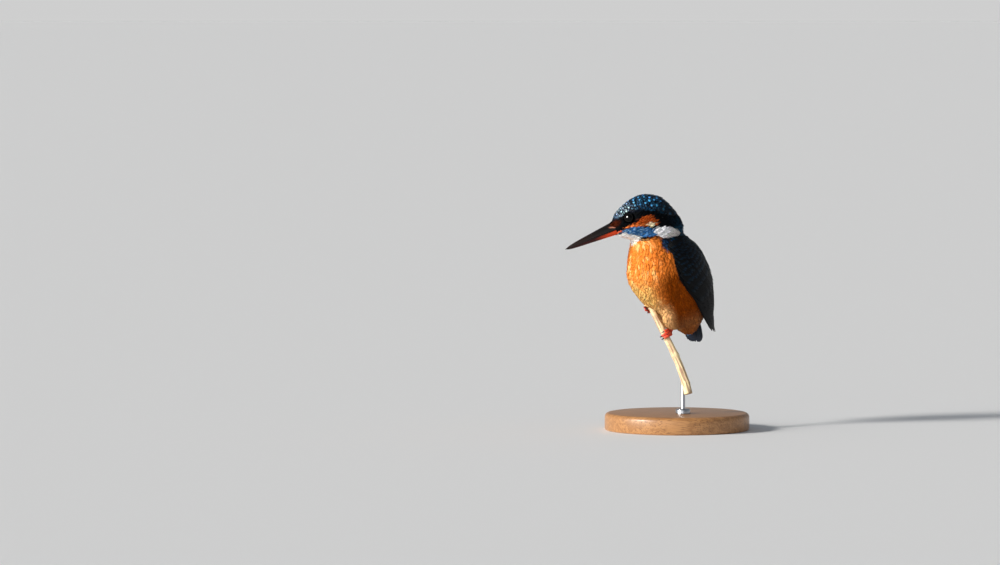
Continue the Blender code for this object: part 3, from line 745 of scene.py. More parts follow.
# %% Small helpers for shader nodes
class Nodes:
    """A finish being mixed: its node tree, and short names for the nodes that the finishes share."""

    def __init__(self, made, **sockets):
        made.use_nodes = True
        self.made, self.tree = made, made.node_tree
        self.shader = self.tree.nodes.get("Principled BSDF")
        for socket, value in sockets.items():
            self.shader.inputs[socket.replace("_", " ")].default_value = value

    def add(self, kind, inputs=(), **settings):
        """A new node, its first sockets fed with numbers, colours or other nodes' outputs."""
        made = self.tree.nodes.new(kind)
        for name, value in settings.items():
            setattr(made, name, value)
        for socket, value in (inputs.items() if isinstance(inputs, dict) else enumerate(inputs)):
            if hasattr(value, "is_output"):
                self.tree.links.new(value, made.inputs[socket])
            else:
                made.inputs[socket].default_value = (*value, 1) if isinstance(value, np.ndarray) else value
        return made

    def sum(self, how, *parts):
        """One sum in numbers."""
        return self.add("ShaderNodeMath", parts, operation=how).outputs[0]

    def times(self, a, b):
        return self.sum("MULTIPLY", a, b)

    def blend(self, share, a, b, how="MIX"):
        """Two colours mixed by a share."""
        return self.add("ShaderNodeMix", {0: share, 6: a, 7: b}, data_type="RGBA", blend_type=how).outputs[2]

    def shaded(self, colour, shade):
        """A colour made darker or lighter by a number."""
        grey = self.add("ShaderNodeCombineColor", [shade] * 3).outputs[0]
        return self.blend(1.0, colour, grey, "MULTIPLY")

    def between(self, value, low, high, to_low=0.0, to_high=1.0, how="SMOOTHSTEP"):
        """A value that runs from low to high, made to run between two others."""
        parts = (value, low, high, to_low, to_high)
        return self.add("ShaderNodeMapRange", parts, interpolation_type=how).outputs[0]

    def written(self, label, output="Fac"):
        """What the mesh has written on its points under a label."""
        return self.add("ShaderNodeAttribute", attribute_name=label).outputs[output]

    def room(self, of="Object"):
        """Places in the room, in metres."""
        return self.add("ShaderNodeTexCoord").outputs[of]

    def drawn_out(self, scale, **settings):
        """Places in the room, scaled more along one axis than another, for grain."""
        return self.add("ShaderNodeMapping", {0: self.room(), "Scale": scale, **settings}).outputs[0]

    def noise(self, scale, detail=3.0, where=None):
        """Noise in the room, or in the places given."""
        inputs = {"Vector": where or self.room(), "Scale": scale, "Detail": detail, "Roughness": 0.55}
        return self.add("ShaderNodeTexNoise", inputs).outputs["Fac"]

    def coloured(self, colour):
        """Gives the finish its colour."""
        self.tree.links.new(colour, self.shader.inputs["Base Color"])

    def raised(self, height, strength, distance):
        """Gives the finish a relief: a height from 0 to 1, and how far that is in metres."""
        bump = self.add("ShaderNodeBump", {"Strength": strength, "Distance": distance, "Height": height})
        self.tree.links.new(bump.outputs[0], self.shader.inputs["Normal"])


def new_finish(name, roughness, **sockets):
    """A plain finish with its sockets set."""
    return Nodes(bpy.data.materials.new(name), Roughness=roughness, **sockets)


print("short names for nodes:", ", ".join(name for name in vars(Nodes) if name[0] != "_"))


# %% Finishes of the coat
def plumage_finish(name, roughness, gloss, band, barbs, shaft, bump=0.35, dot=0.0, deep=0.74):
    """Feather vanes: base colour, a band of the spot colour at the tip, slanted barbs and a fine shaft.
    Dot narrows the band to a round spot, and deep is how dark the gaps between barbs are."""
    f = new_finish(name, roughness, Specular_IOR_Level=gloss)
    split = f.add("ShaderNodeSeparateXYZ", [f.add("ShaderNodeUVMap", uv_map="Vane").outputs[0]])
    out, along = f.sum("ABSOLUTE", f.sum("SUBTRACT", split.outputs[0], 0.5)), split.outputs[1]
    tip = f.between(f.sum("ADD", along, f.times(out, -0.25)), *band)
    if dot:
        tip = f.times(tip, f.between(along, 0.99, 0.92))
        tip = f.times(tip, f.between(out, dot, dot - 0.12))
    share = f.times(tip, f.written("spot", "Alpha"))
    colour = f.blend(share, f.written("plumage", "Color"), f.written("spot", "Color"))
    slant = f.sum("SUBTRACT", along, f.times(out, 0.9))
    wave = f.sum("SINE", f.times(slant, barbs * math.pi))
    dark = f.between(wave, -1.0, 1.0, deep, 1.08, "LINEAR")
    mottle = f.between(f.noise(900), 0.3, 0.7, 0.86, 1.1)
    quill = f.between(out, 0.0, 0.06, shaft, 1.0)
    f.coloured(f.shaded(colour, f.times(f.times(dark, mottle), quill)))
    f.raised(wave, bump, 0.00008)
    return f


crown_finish = plumage_finish("crown_plumage", 0.45, 0.18, band=(0.66, 0.74), barbs=14, shaft=0.85, dot=0.46)
spot_finish = plumage_finish("spotted_plumage", 0.42, 0.22, band=(0.54, 0.64), barbs=14, shaft=0.9, dot=0.44)
face_finish = plumage_finish("face_plumage", 0.75, 0.06, band=(0.45, 0.8), barbs=12, shaft=0.95, deep=0.92)
body_finish = plumage_finish("breast_plumage", 0.8, 0.05, band=(0.45, 1.0), barbs=22, shaft=0.95)
blue_finish = plumage_finish("wing_plumage", 0.5, 0.1, band=(0.66, 0.8), barbs=20, shaft=0.7)

down = new_finish("skin_of_down", 0.85, Specular_IOR_Level=0.1)
speckle = down.between(down.noise(1400), 0.3, 0.7, 0.7, 0.92)
down.coloured(down.shaded(down.written("plumage", "Color"), speckle))
down.raised(down.noise(1800), 0.6, 0.0003)
skin_mesh.materials.append(down.made)
points = rows_of(skin_mesh)
under_wing = near_wing & ~before_the_wing(points, -3)
base = mixed(plumage(points)[0], MASK, under_wing.astype(float))
tinted(skin_mesh, "plumage", np.c_[base, np.ones(len(base))])
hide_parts(*FLESH)
print("finishes of the coat are mixed")

# %% The body's coat, piece by piece
def varied(colours, dice, amount):
    """Each feather a little lighter or darker, and a little warmer or cooler, than the next."""
    light = np.exp(dice.normal(0, amount, (len(colours), 1)))
    warm = 1 + dice.normal(0, amount * 0.35, (len(colours), 3))
    return np.clip(colours * light * warm, 0, 1)


MOST_TRIANGLES = 198000  # in any one piece of the coat
LONG, BROAD = 3.1, 2.1  # a feather's length and breadth, in gaps between roots
THICK, SPOT_THICK, COVERT_THICK, FLIGHT_THICK = 0.09 * MM, 0.1 * MM, 0.13 * MM, 0.16 * MM


def coat_over(name, chosen, vanes, finish, seed, stretch=1.0, breadth=1.0, rise=1.0):
    """Feathers at the chosen roots as one piece, made longer, broader or flatter by three factors."""
    dice = np.random.default_rng(seed)
    gaps = closeness(chosen)
    coat = Coat()
    which = dice.integers(0, len(vanes), len(chosen))
    for kind, vane in enumerate(vanes):
        here = chosen[which == kind]
        gap = gaps[which == kind]
        _, out, _ = ground.land(here)
        way = lie(here, out)
        way = unit(way + np.cross(out, way) * dice.normal(0, 0.09, (len(here), 1)))
        length = clear_of_eyes(here, way, gap * LONG * stretch * dice.uniform(0.85, 1.18, len(here)))
        width = gap * BROAD * breadth * dice.uniform(0.88, 1.12, len(here))
        tips = here + way * length[:, None]
        over_wing = ~before_the_wing(tips, 0) & (distance(wing_tree, tips) < 0.9 * MM)
        over_wing &= seen_from(TRUNK, here)[:, 2] > 6
        length = np.where(over_wing, length * 0.5, length)
        low = proud(here) - 0.12 * MM
        high = coat_depth(here) * rise * dice.uniform(0.62, 0.98, len(here)) + proud(tips)
        high = np.where(over_wing, low, high)
        where = bent_on(ground, vane, here, way, length, width, low, high, THICK)
        base, spot, strong = plumage(here + way * length[:, None] * 0.72)
        coat.lay(vane, where, ground.patch(here), varied(base, dice, 0.06), varied(spot, dice, 0.14), strong)
    made = piece(name, coat.mesh(name), finish)
    made.data.calc_loop_triangles()
    count = len(made.data.loop_triangles)
    print(name, len(chosen), "feathers,", count, "triangles")
    assert count < MOST_TRIANGLES, name


head_at, trunk_at = seen_from(HEAD, roots), seen_from(TRUNK, roots)
on_head = trunk_at[:, 2] > 40
on_head |= (head_at[:, 0] > -16) & (head_at[:, 2] > -9) & (trunk_at[:, 2] > 36)
brow = line(head_at[:, 0], (30, 8), (21, 8.6), (12, 9.8), (2, 9), (-3, 6), (-7, 2.4), (-14, 0.4))
face = on_head & (head_at[:, 2] < brow) & (head_at[:, 0] > -18)
crown = on_head & ~face
front = np.abs(turn_of(trunk_at)) < 95
breast = ~on_head & front & (trunk_at[:, 2] > 8)
belly = ~on_head & front & ~breast
rump = ~on_head & ~front
coat_over("feathers_of_the_face", roots[face], [FACE_VANE], face_finish, 21,
          1.45, 0.95, 0.75)
coat_over("feathers_of_the_crown", roots[crown], [CROWN_VANE], crown_finish, 22, 0.95, 1.05)
for part, chosen, seed in (("breast", roots[breast], 23), ("belly", roots[belly], 25)):
    left = seen_from(TRUNK, chosen)[:, 1] > 0
    for side, half in (("left", left), ("right", ~left)):
        seed += side == "right"
        name = f"feathers_of_the_{side}_{part}"
        coat_over(name, chosen[half], BODY_VANES, body_finish, seed, 1.5, 1.05, 0.72)
coat_over("feathers_of_the_back", roots[rump], BODY_VANES, blue_finish, 27)

# %% The spotted feathers of the crown
# Broad round-ended feathers lie over the fine dark ones, close and small at the forehead, and wider apart
# towards the nape. Each carries one bright spot near its tip.
def spot_gap(points):
    """The gap between neighbouring spots, in metres."""
    ahead = seen_from(HEAD, points)[:, 0]
    return line(ahead, (-16, 3.4), (-6, 3.1), (4, 2.8), (10, 2.5), (16, 2.3), (20, 2.0), (24, 1.6)) * MM


crown_roots = roots[crown & (head_at[:, 2] > brow + 0.9) & (trunk_at[:, 2] > 42)]
spotted = crown_roots[kept_apart(crown_roots, spot_gap(crown_roots))]
dice = np.random.default_rng(28)
gap = spot_gap(spotted)
_, out, _ = ground.land(spotted)
way = lie(spotted, out)
way = unit(way + np.cross(out, way) * dice.normal(0, 0.12, (len(spotted), 1)))
length = gap * 1.5 * dice.uniform(0.85, 1.15, len(gap))
width = gap * 0.85 * dice.uniform(0.82, 1.15, len(gap))
tips = spotted + way * length[:, None]
low, high = proud(spotted) + 0.1 * MM, proud(tips) + coat_depth(spotted) + 0.12 * MM
where = bent_on(ground, SPOT_VANE, spotted, way, length, width, low, high, SPOT_THICK)
base, spot, strong = plumage(spotted + way * length[:, None] * 0.8)
base, spot = varied(base, dice, 0.1), varied(spot, dice, 0.2)
coat = Coat()
coat.lay(SPOT_VANE, where, ground.patch(spotted), base, spot, np.minimum(strong * 3, 1))
piece("spots_of_the_crown", coat.mesh("spots_of_the_crown"), spot_finish)
print(len(spotted), "spotted feathers")

# %% [markdown]
# ## A folded wing
# A folded wing is a fan shut like a hand of cards. The outermost long feather lies lowest, along the front
# edge, and each one nearer the body lies over it and ends a little higher up the back edge. Rows of coverts
# then roof over their roots, each row shorter than the one below it. To place them all, the wing's outer
# face is charted: one number runs down the trunk's axis, and one from the front edge to the back edge.

# %% The chart of a wing
WING_EDGES = (  # height along the trunk's axis, and the turn of the front and back edge there
    (33, 66, 98), (29, 58, 122), (20, 57, 148), (10, 60, 162), (0, 65, 168), (-9, 79, 171), (-16, 89, 172),
    (-24, 96, 172), (-32, 104, 171), (-39, 112, 170), (-44, 119, 168), (-48, 129, 167), (-50.5, 142, 165),
)


class Chart:
    """Where a height and a share across the wing lie on its outer face, and which way is out."""

    def __init__(self, side):
        tree = tree_of(f"wing_{side}", f"flight_{side}")
        way = 1 if side == "left" else -1
        self.heights, self.shares = np.linspace(32, -49, 81), np.linspace(0, 1, 25)
        edges = np.array(sorted(WING_EDGES))
        grid = np.zeros((len(self.heights), len(self.shares), 3))
        for i, height in enumerate(self.heights):
            front, back = (np.interp(height, edges[:, 0], edges[:, k]) for k in (1, 2))
            hits, spots = [], []
            for share in self.shares:
                turn = math.radians(front + (back - front) * (0.015 + 0.97 * share)) * way
                ray = TRUNK.to_3x3() @ Vector((math.cos(turn), math.sin(turn), 0))
                axis = TRUNK @ (Vector((0, 0, height)) * MM)
                hit = tree.ray_cast(axis + ray * 80 * MM, -ray, 75 * MM)[0]
                if hit is not None:
                    hits.append(share)
                    spots.append(hit)
            spots = np.array(spots)
            bend = np.polyfit(hits, spots, 2)  # carries the row on where no ray met the wing
            for j, share in enumerate(self.shares):
                if hits[0] <= share <= hits[-1]:
                    grid[i, j] = [np.interp(share, hits, spots[:, k]) for k in range(3)]
                else:
                    grid[i, j] = bend[0] * share**2 + bend[1] * share + bend[2]
        for _ in range(3):
            grid[1:-1] = grid[1:-1] * 0.5 + (grid[:-2] + grid[2:]) * 0.25
            grid[:, 1:-1] = grid[:, 1:-1] * 0.5 + (grid[:, :-2] + grid[:, 2:]) * 0.25
        self.grid = grid
        out = np.cross(np.gradient(grid, axis=0), np.gradient(grid, axis=1)) * way
        self.out = out / np.linalg.norm(out, axis=2, keepdims=True)
        self.breadth = np.linalg.norm(np.diff(grid, axis=1), axis=2).sum(1) / MM

    def at(self, height, share):
        """Places and outward directions. Past an edge the chart runs straight on."""
        rows, columns = len(self.heights) - 1, len(self.shares) - 1
        i = (self.heights[0] - height) / (self.heights[0] - self.heights[-1]) * rows
        i, j = np.clip(i, -1.5, rows + 1.4), share * columns
        ii = np.clip(np.floor(i).astype(int), 0, rows - 1)
        jj = np.clip(np.floor(j).astype(int), 0, columns - 1)
        u, v = (i - ii)[..., None], (j - jj)[..., None]

        def mix(of, u, v):
            first = of[ii, jj] * (1 - u) + of[ii + 1, jj] * u
            return first * (1 - v) + (of[ii, jj + 1] * (1 - u) + of[ii + 1, jj + 1] * u) * v

        return mix(self.grid, u, v), mix(self.out, np.clip(u, 0, 1), np.clip(v, 0, 1))

    def wide(self, height):
        """The wing's breadth at a height, in millimetres."""
        return np.interp(-height, -self.heights, self.breadth)


charts = {side: Chart(side) for side in ("left", "right")}
print("a wing is", round(float(charts["left"].breadth.max()), 1), "mm broad at its widest")


# %% Feathers on a chart
def charted(chart, vane, height, share, length, half, drift, low, high, thick, arch=0.0):
    """Feathers that start at heights and shares, run down the chart, and drift across it towards their tips.
    Half is half their width as a share of the wing's breadth, so that they narrow as the wing does."""
    reach = vane.reach[vane.upper][None]
    across = (vane.across * vane.width)[vane.upper][None]
    h = height[:, None] - length[:, None] * reach
    s = share[:, None] + drift[:, None] * reach + half[:, None] * across
    spot, out = chart.at(h, s)
    lift = low[:, None] + (high - low)[:, None] * reach + arch * (1 - across**2)
    return vane.closed(spot + out * lift[..., None], spot + out * (lift - thick)[..., None])


class StripCoat(Coat):
    """Long feathers of one template, each face with a broad strip of the bake map to itself."""

    def mesh(self, name):
        made = super().mesh(name)
        ((vane, where, *_),) = self.parts
        many = len(where)
        own = rows_of(made.uv_layers["Vane"], "data", "uv", 2)
        which = np.repeat(np.arange(many), len(vane.loops))
        under = np.tile(~vane.upper[vane.loops], many)
        column = (which * 2 + under + 0.5 + (own[:, 0] - 0.5) * 0.86) / (2 * many)
        bake = np.stack([column, 0.02 + 0.96 * own[:, 1]], 1)
        made.uv_layers["OFBake"].data.foreach_set("uv", bake.ravel())
        return made


print("a chart holds", charts["left"].grid.shape[:2], "places")

# %% The long feathers of the wings
FLIGHT_VANE = Vane(6, 22).outlined(
    ((0, 0.45), (0.15, 0.8), (0.5, 1), (0.8, 0.97), (0.93, 0.84), (0.98, 0.62), (1, 0.3)), 0.035)
flight_finish = plumage_finish("flight_feathers", 0.5, 0.09, band=(0.9, 1.4), barbs=90, shaft=1.9, bump=0.25)

FLIGHT, FLIGHT_EDGE = ink(13, 13, 16), ink(10, 26, 40)
LONG_FEATHERS = 20  # ten primaries, six secondaries and four tertials


def each(colour, many):
    """A row of the same colour for each of many feathers."""
    return np.repeat(colour[None], many, 0)


def flight_of(side):
    """The long feathers of a wing, outermost first and lowest."""
    k = np.arange(LONG_FEATHERS)
    last = LONG_FEATHERS - 1
    tip_height = line(k, (0, -46), (1, -48.6), (2, -49.7), (3, -48.8), (5, -44.5), (9, -33), (15, -18),
                      (last, -9))
    tip_share = line(k, (0, 0.13), (1, 0.3), (2, 0.47), (3, 0.62), (6, 0.77), (10, 0.85), (last, 0.9))
    height, share = line(k, (0, 8.0), (9, 6.0), (last, 12.0)), line(k, (0, 0.13), (9, 0.5), (last, 0.86))
    half = line(k, (0, 0.14), (1, 0.15), (9, 0.17), (last, 0.13))
    lift = (-0.95 + 0.75 * k / last) * MM
    where = charted(charts[side], FLIGHT_VANE, height, share, height - tip_height, half, tip_share - share,
                    lift, lift, FLIGHT_THICK, 0.05 * MM)
    base, spot = varied(each(FLIGHT, len(k)), np.random.default_rng(31), 0.08), each(FLIGHT_EDGE, len(k))
    coat, name = StripCoat(), f"flight_feathers_{side}"
    coat.lay(FLIGHT_VANE, where, np.zeros((len(k), 2)), base, spot, np.full(len(k), 0.6))
    return piece(name, coat.mesh(name), flight_finish, [f"flight_{side}"])


print("a wing has", LONG_FEATHERS, "long feathers of", int((FLIGHT_VANE.sizes - 2).sum()), "triangles")

# %% Coverts and scapulars
COVERT_VANE = Vane(4, 5, waist=0.55, root=0.25, tip=0.45)
COVERT, COVERT_SPOT = ink(6, 8, 11), ink(15, 44, 64)
SCAPULAR, SCAPULAR_SPOT = ink(6, 17, 22), ink(10, 42, 54)
COVERT_ROWS = (  # height at the front and the back edge, length, width, first and last share, spot
    (-3, 5, 15, 4.2, 0.05, 0.9, 0.12), (4, 12, 11, 3.4, 0.05, 0.9, 0.3), (9, 16, 8.5, 3.0, 0.06, 0.92, 0.45),
    (13, 19.5, 7.5, 2.7, 0.08, 0.94, 0.5), (16.5, 22.5, 7, 2.5, 0.1, 0.95, 0.5),
    (20, 25, 6.5, 2.4, 0.12, 0.96, 0.5), (23, 27.5, 6, 2.3, 0.14, 0.97, 0.5),
    (26, 29.5, 5.5, 2.2, 0.15, 0.97, 0.5), (28.6, 31.2, 5, 2.0, 0.14, 0.98, 0.4),
    (31, 32.6, 4.5, 1.9, 0.1, 0.95, 0.4),
)
SCAPULARS = (  # height and share of each pair
    (2, 0.9), (7, 0.84), (7, 0.94), (12, 0.8), (12, 0.9), (12, 1.0), (17, 0.82), (17, 0.92), (17, 1.02),
    (21, 0.84), (21, 0.95), (25, 0.84), (25, 0.96), (28, 0.85), (28, 0.97),
)


def coverts_of(side):
    """Rows of coverts, the greater ones first, up to the shoulder, then the scapulars over the back edge."""
    chart = charts[side]
    coat, name = Coat(), f"wing_coverts_{side}"
    dice = np.random.default_rng(32)

    def lay(height, share, lengths, half, drift, lifts, arch, own, tip, unlike, strength):
        """One row, its lifts at root and tip given in millimetres."""
        many = len(height)
        low, high = (np.full(many, lift * MM) for lift in lifts)
        where = charted(chart, COVERT_VANE, height, share, lengths, half, drift, low, high,
                        COVERT_THICK, arch * MM)
        base, spot = varied(each(own, many), dice, 0.12), varied(each(tip, many), dice, unlike)
        coat.lay(COVERT_VANE, where, ground.patch(where[:, 0]), base, spot, np.full(many, strength))

    for row, (front, back, length, width, first, last, strength) in enumerate(COVERT_ROWS):
        many = max(4, int((last - first) * chart.wide((front + back) / 2) / (width * 0.52)))
        share = np.linspace(first, last, many) + (row % 2) * (last - first) / many / 2
        share = np.clip(share + dice.normal(0, 0.006, many), 0.015, 0.985)
        height = front + (back - front) * share + dice.normal(0, 0.35, many)
        lengths = length * dice.uniform(0.92, 1.08, many)
        half = width / 2 / chart.wide(height - lengths / 2)
        drift = dice.normal(0.03, 0.012, many)
        lifts = (-0.62, 0.02 + 0.012 * row)
        lay(height, share, lengths, half, drift, lifts, 0.1, COVERT, COVERT_SPOT, 0.2, strength)
    for height, share in SCAPULARS:
        heights = height + dice.normal(0, 0.4, 2) + np.array([0, 1.5])
        shares = share + np.array([-0.02, 0.025])
        lengths = (15.0 - 0.25 * abs(height - 10)) * dice.uniform(0.92, 1.08, 2)
        half = 4.4 / 2 / chart.wide(heights - lengths / 2)
        drift = np.full(2, -0.01)
        lay(heights, shares, lengths, half, drift, (-0.3, 0.35), 0.15, SCAPULAR, SCAPULAR_SPOT, 0.15, 0.6)
    return piece(name, coat.mesh(name), blue_finish)


for side in ("left", "right"):
    for made in (flight_of(side), coverts_of(side)):
        print(made.name, "-", len(made.data.polygons), "faces")

# %% [markdown]
# ## The tail
# Twelve short feathers, closed one over another: the middle pair lies on top, and the outer ones show only
# from below. They follow the arched form of the solid tail, and the azure feathers of the back end over it.

# %% Tail feathers
# Millimetres along the tail, half its breadth there, and how high it is arched.
TAIL_SHAPE = ((0, 7, 1.6), (5, 8.2, 2.0), (10, 8.5, 1.9), (14.5, 8.2, 1.5), (17.5, 6.8, 1.0), (19, 4.2, 0.6))


def on_tail(along, across, lift):
    """A place on the arched tail: millimetres along it, across it, and off its upper face."""
    shape = np.array(TAIL_SHAPE)
    half, arch = (np.interp(along, shape[:, 0], shape[:, c]) for c in (1, 2))
    bow = arch * (1 - np.clip(across / half, -1, 1) ** 2)
    places = np.stack([-(bow + 0.6 + lift), across, -along], -1)
    return put_from(TAIL, places.reshape(-1, 3)).reshape(places.shape)


TAIL_BLUE, TAIL_EDGE = ink(8, 20, 38), ink(14, 42, 80)
TAIL_VANE = Vane(6, 12).outlined(
    ((0, 0.6), (0.2, 0.8), (0.6, 1), (0.85, 0.95), (0.95, 0.75), (1, 0.35)), 0.05)
pair, hand = np.repeat(np.arange(6), 2), np.tile([1, -1], 6)
many = len(pair)
reach, across = TAIL_VANE.reach[None], (TAIL_VANE.across * TAIL_VANE.width)[None]
along = -2 + (line(pair, (0, 18.9), (3, 18.6), (5, 17.2)) + 2)[:, None] * reach
place = ((0.9 + pair * 1.1) * hand)[:, None] * (0.72 + 0.28 * reach) + 2.3 * across
lift = (-0.12 - 0.16 * pair - 0.07 * (hand < 0))[:, None] - 0.1 * (~TAIL_VANE.upper)[None]
base = varied(each(TAIL_BLUE, many), np.random.default_rng(33), 0.08)
tail_coat = StripCoat()
tail_coat.lay(TAIL_VANE, on_tail(along, place, lift), np.zeros((many, 2)), base, each(TAIL_EDGE, many),
              np.full(many, 0.5))
tail_finish = plumage_finish("tail_feathers", 0.45, 0.22, band=(0.9, 1.4), barbs=50, shaft=0.6, bump=0.25)
tail = piece("tail_fan", tail_coat.mesh("tail_fan"), tail_finish, ["tail"])
print("tail:", len(tail.data.polygons), "faces")

# %% [markdown]
# ## Eyes
# A kingfisher's eye is a dark brown bead, nearly black, set in a thin rim of bare dark skin. The ball is a
# sphere in its true place, with a faint iris ring found by how far each point turns from the line of gaze,
# and a small painted highlight high in front. The rim is a small circle spun about the line of gaze.

# %% Eyeballs and their rims
def out_there(middle):
    """The outward direction of the skin around an eye."""
    far = np.linalg.norm(ground.co - middle[None], axis=1) / MM
    return Vector(ground.out[(far > 4.2) & (far < 6.5)].mean(0)).normalized()


def spun(whole, steps):
    """Carries what a bmesh holds once round the upright axis, and closes the ring."""
    bmesh.ops.spin(whole, geom=whole.edges[:] + whole.verts[:], cent=(0, 0, 0), axis=(0, 0, 1),
                   dvec=(0, 0, 0), angle=math.tau, steps=steps, use_merge=True, use_duplicate=False)
    bmesh.ops.remove_doubles(whole, verts=whole.verts, dist=1e-7)
    bmesh.ops.recalc_face_normals(whole, faces=whole.faces)


bead = new_finish("eye", 0.06, Specular_IOR_Level=0.1, Coat_Weight=0.05, Coat_Roughness=0.02)
gaze = bead.written("gaze")
ring = bead.blend(bead.between(gaze, 0.5, 0.56), ink(2, 2, 2), ink(18, 9, 6))
ring = bead.blend(bead.between(gaze, 0.7, 0.8), ring, ink(3, 3, 3))
glint = bead.between(bead.written("glint"), 0.175, 0.115)
bead.coloured(bead.blend(glint, ring, ink(255, 255, 255)))

lid = new_finish("lid_skin", 0.7, Specular_IOR_Level=0.08)
lid.coloured(lid.blend(lid.noise(2600), ink(5, 5, 6), ink(13, 11, 11)))
lid.raised(lid.noise(3200), 0.5, 0.0002)
BALL_RADIUS, RIM_RADIUS, RIM_PLACE = 3.32 * MM, 0.34 * MM, Vector((2.78, 0, 1.75)) * MM

for side, middle in EYES.items():
    way = out_there(middle)
    there = Matrix.Translation(Vector(middle)) @ way.to_track_quat("Z", "Y").to_matrix().to_4x4()
    ball = bmesh.new()
    bmesh.ops.create_uvsphere(ball, u_segments=48, v_segments=32, radius=BALL_RADIUS)
    bmesh.ops.transform(ball, matrix=there, verts=ball.verts)
    mesh = mesh_of(ball, f"eyeball_{side}")
    mesh.shade_smooth()
    bright = direction(HEAD, 0.5, 0.72 if side == "left" else -0.72, 0.485)
    for label, toward, scale in (("gaze", np.array(way), math.pi / 2), ("glint", bright, 1)):
        marked(mesh, label, np.arccos(np.clip(unit(rows_of(mesh) - middle) @ toward, -1, 1)) / scale)
    piece(f"eyeball_{side}", mesh, bead, [f"eye_{side}"])

    rim = bmesh.new()
    bmesh.ops.create_circle(rim, segments=10, radius=RIM_RADIUS)
    bmesh.ops.rotate(rim, matrix=Matrix.Rotation(math.radians(90), 3, "X"), verts=rim.verts)
    bmesh.ops.translate(rim, vec=RIM_PLACE, verts=rim.verts)
    spun(rim, 48)
    bmesh.ops.transform(rim, matrix=there, verts=rim.verts)
    mesh = mesh_of(rim, f"eye_rim_{side}")
    mesh.shade_smooth()
    piece(f"eye_rim_{side}", mesh, lid)
    print(side, "eye looks to", [round(x, 2) for x in way])

# %% [markdown]
# ## Bill
# A long straight dagger in two halves. The upper is brown-black horn with a soft gloss; the lower is
# orange-red at its root and darkens to the tip, as a hen's bill does. The solids have the shape, so a copy
# with finer faces is painted by how far along it each point lies.
# The upper's browner middle is a painted sheen, and the pale line by its root a painted highlight.

# %% Horn
def finer(made, kind="CATMULL_CLARK"):
    """A piece's faces each cut in sixteen, as they lie or rounded, ready to colour."""
    cut = made.modifiers.new("finer", "SUBSURF")
    cut.subdivision_type, cut.levels, cut.render_levels = kind, 2, 2
    return applied(made)


horn = new_finish("bill_horn", 0.34, Specular_IOR_Level=0.25, Coat_Weight=0.05, Coat_Roughness=0.25)
along_bill = horn.drawn_out((0.12, 1, 1), Rotation=HEAD.to_3x3().inverted().to_euler())
grain = horn.noise(1500, 4, along_bill)
streaks = horn.between(grain, 0.35, 0.7, 0, 0.35)
horn.coloured(horn.blend(streaks, horn.written("horn", "Color"), ink(20, 12, 10)))
horn.raised(grain, 0.2, 0.0002)

DARK_HORN, PAINTED_HORN_SHEEN = ink(16, 13, 12), ink(40, 27, 22)
RED_HORN, DEEP_RED, PAINTED_EDGE_HIGHLIGHT = ink(222, 70, 24), ink(58, 14, 12), ink(222, 140, 112)
BILL_START, BILL_LENGTH = 24, 37.5  # along the head's first axis, in millimetres
for name, slot_name in (("bill_upper", "bill_horn"), ("bill_lower", "bill_base")):
    made = piece(name + "_horn", mesh_of(copy_of(name), name + "_horn"), horn, [name])
    mesh = finer(made, "SIMPLE")
    at, out = rows_of(mesh), rows_of(mesh, field="normal")
    blunt = 0.28 * ramp(seen_from(HEAD, at)[:, 0], 40, 58) * MM
    at = at + out * blunt[:, None]
    mesh.vertices.foreach_set("co", at.ravel())
    ahead, _, above = seen_from(HEAD, at).T
    along = (ahead - BILL_START) / BILL_LENGTH
    if name == "bill_upper":
        # painted sheen: the upper mandible is browner along its middle and outer part
        colour = mixed(each(DARK_HORN, len(at)), PAINTED_HORN_SHEEN, ramp(along, 0.25, 0.7) * 0.8)
        # painted highlight: a pale pink line along the upper mandible's edge near its root
        off = np.abs(above - 2.9 - 0.33 * (ahead - BILL_START))
        colour = mixed(colour, PAINTED_EDGE_HIGHLIGHT, ramp(off, 0.62, 0.2) * ramp(ahead, 29.5, 27) * 0.8)
    else:
        colour = mixed(each(RED_HORN, len(at)), DEEP_RED, ramp(along, 0.12, 0.46))
        colour = mixed(colour, DARK_HORN, ramp(along, 0.75, 1.0) * 0.6)
    tinted(mesh, "horn", np.c_[colour, np.ones(len(colour))])
    mesh.shade_smooth()
    print(name, len(mesh.polygons), "faces")

# %% [markdown]
# ## Feet
# The feet are small and orange-red, with toes partly joined, wrapped round the twig. Leg and foot are melted
# into one skin with rounded scales raised in the finish. Claws are dark horn.

# %% Scaly feet and claws
scaly = new_finish("foot_skin", 0.45, Coat_Weight=0.15)
scales = {"Vector": scaly.room(), "Scale": 1150}
plate = scaly.add("ShaderNodeTexVoronoi", scales, feature="DISTANCE_TO_EDGE").outputs["Distance"]
plate = scaly.between(plate, 0.0, 0.16)
flesh = scaly.blend(plate, ink(150, 26, 10), ink(226, 62, 26))
flesh = scaly.blend(scaly.between(scaly.noise(500), 0.4, 0.7, 0, 0.5), flesh, ink(244, 104, 50))
scaly.coloured(flesh)
scaly.raised(plate, 0.5, 0.00012)

claw = new_finish("claw_horn", 0.3, Coat_Weight=0.3)
claw.coloured(claw.blend(claw.noise(900), ink(22, 15, 14), ink(58, 40, 34)))
claw.raised(claw.noise(2200), 0.15, 0.0001)

for side in ("left", "right"):
    name, solids = f"foot_and_leg_{side}", (f"foot_{side}", f"leg_{side}")
    mesh = remeshed(name, copy_of(*solids, swell=0.12 * MM), 0.28 * MM, 4)
    mesh.shade_smooth()
    piece(name, mesh, scaly, solids)
    name, solids = f"claws_{side}", [f"claw_{side}_{toe}" for toe in ("outer", "middle", "inner", "hind")]
    finer(piece(name, mesh_of(copy_of(*solids), name), claw, solids)).shade_smooth()
    print(side, "foot and claws done")

# %% [markdown]
# ## The twig
# A thin dead twig, smooth where it has weathered and finely grooved along its length, with both ends cut.
# Its grooves are raised in the mesh as well as in the finish, and follow the twig's own axis. The cut ends
# show pale wood with rings.

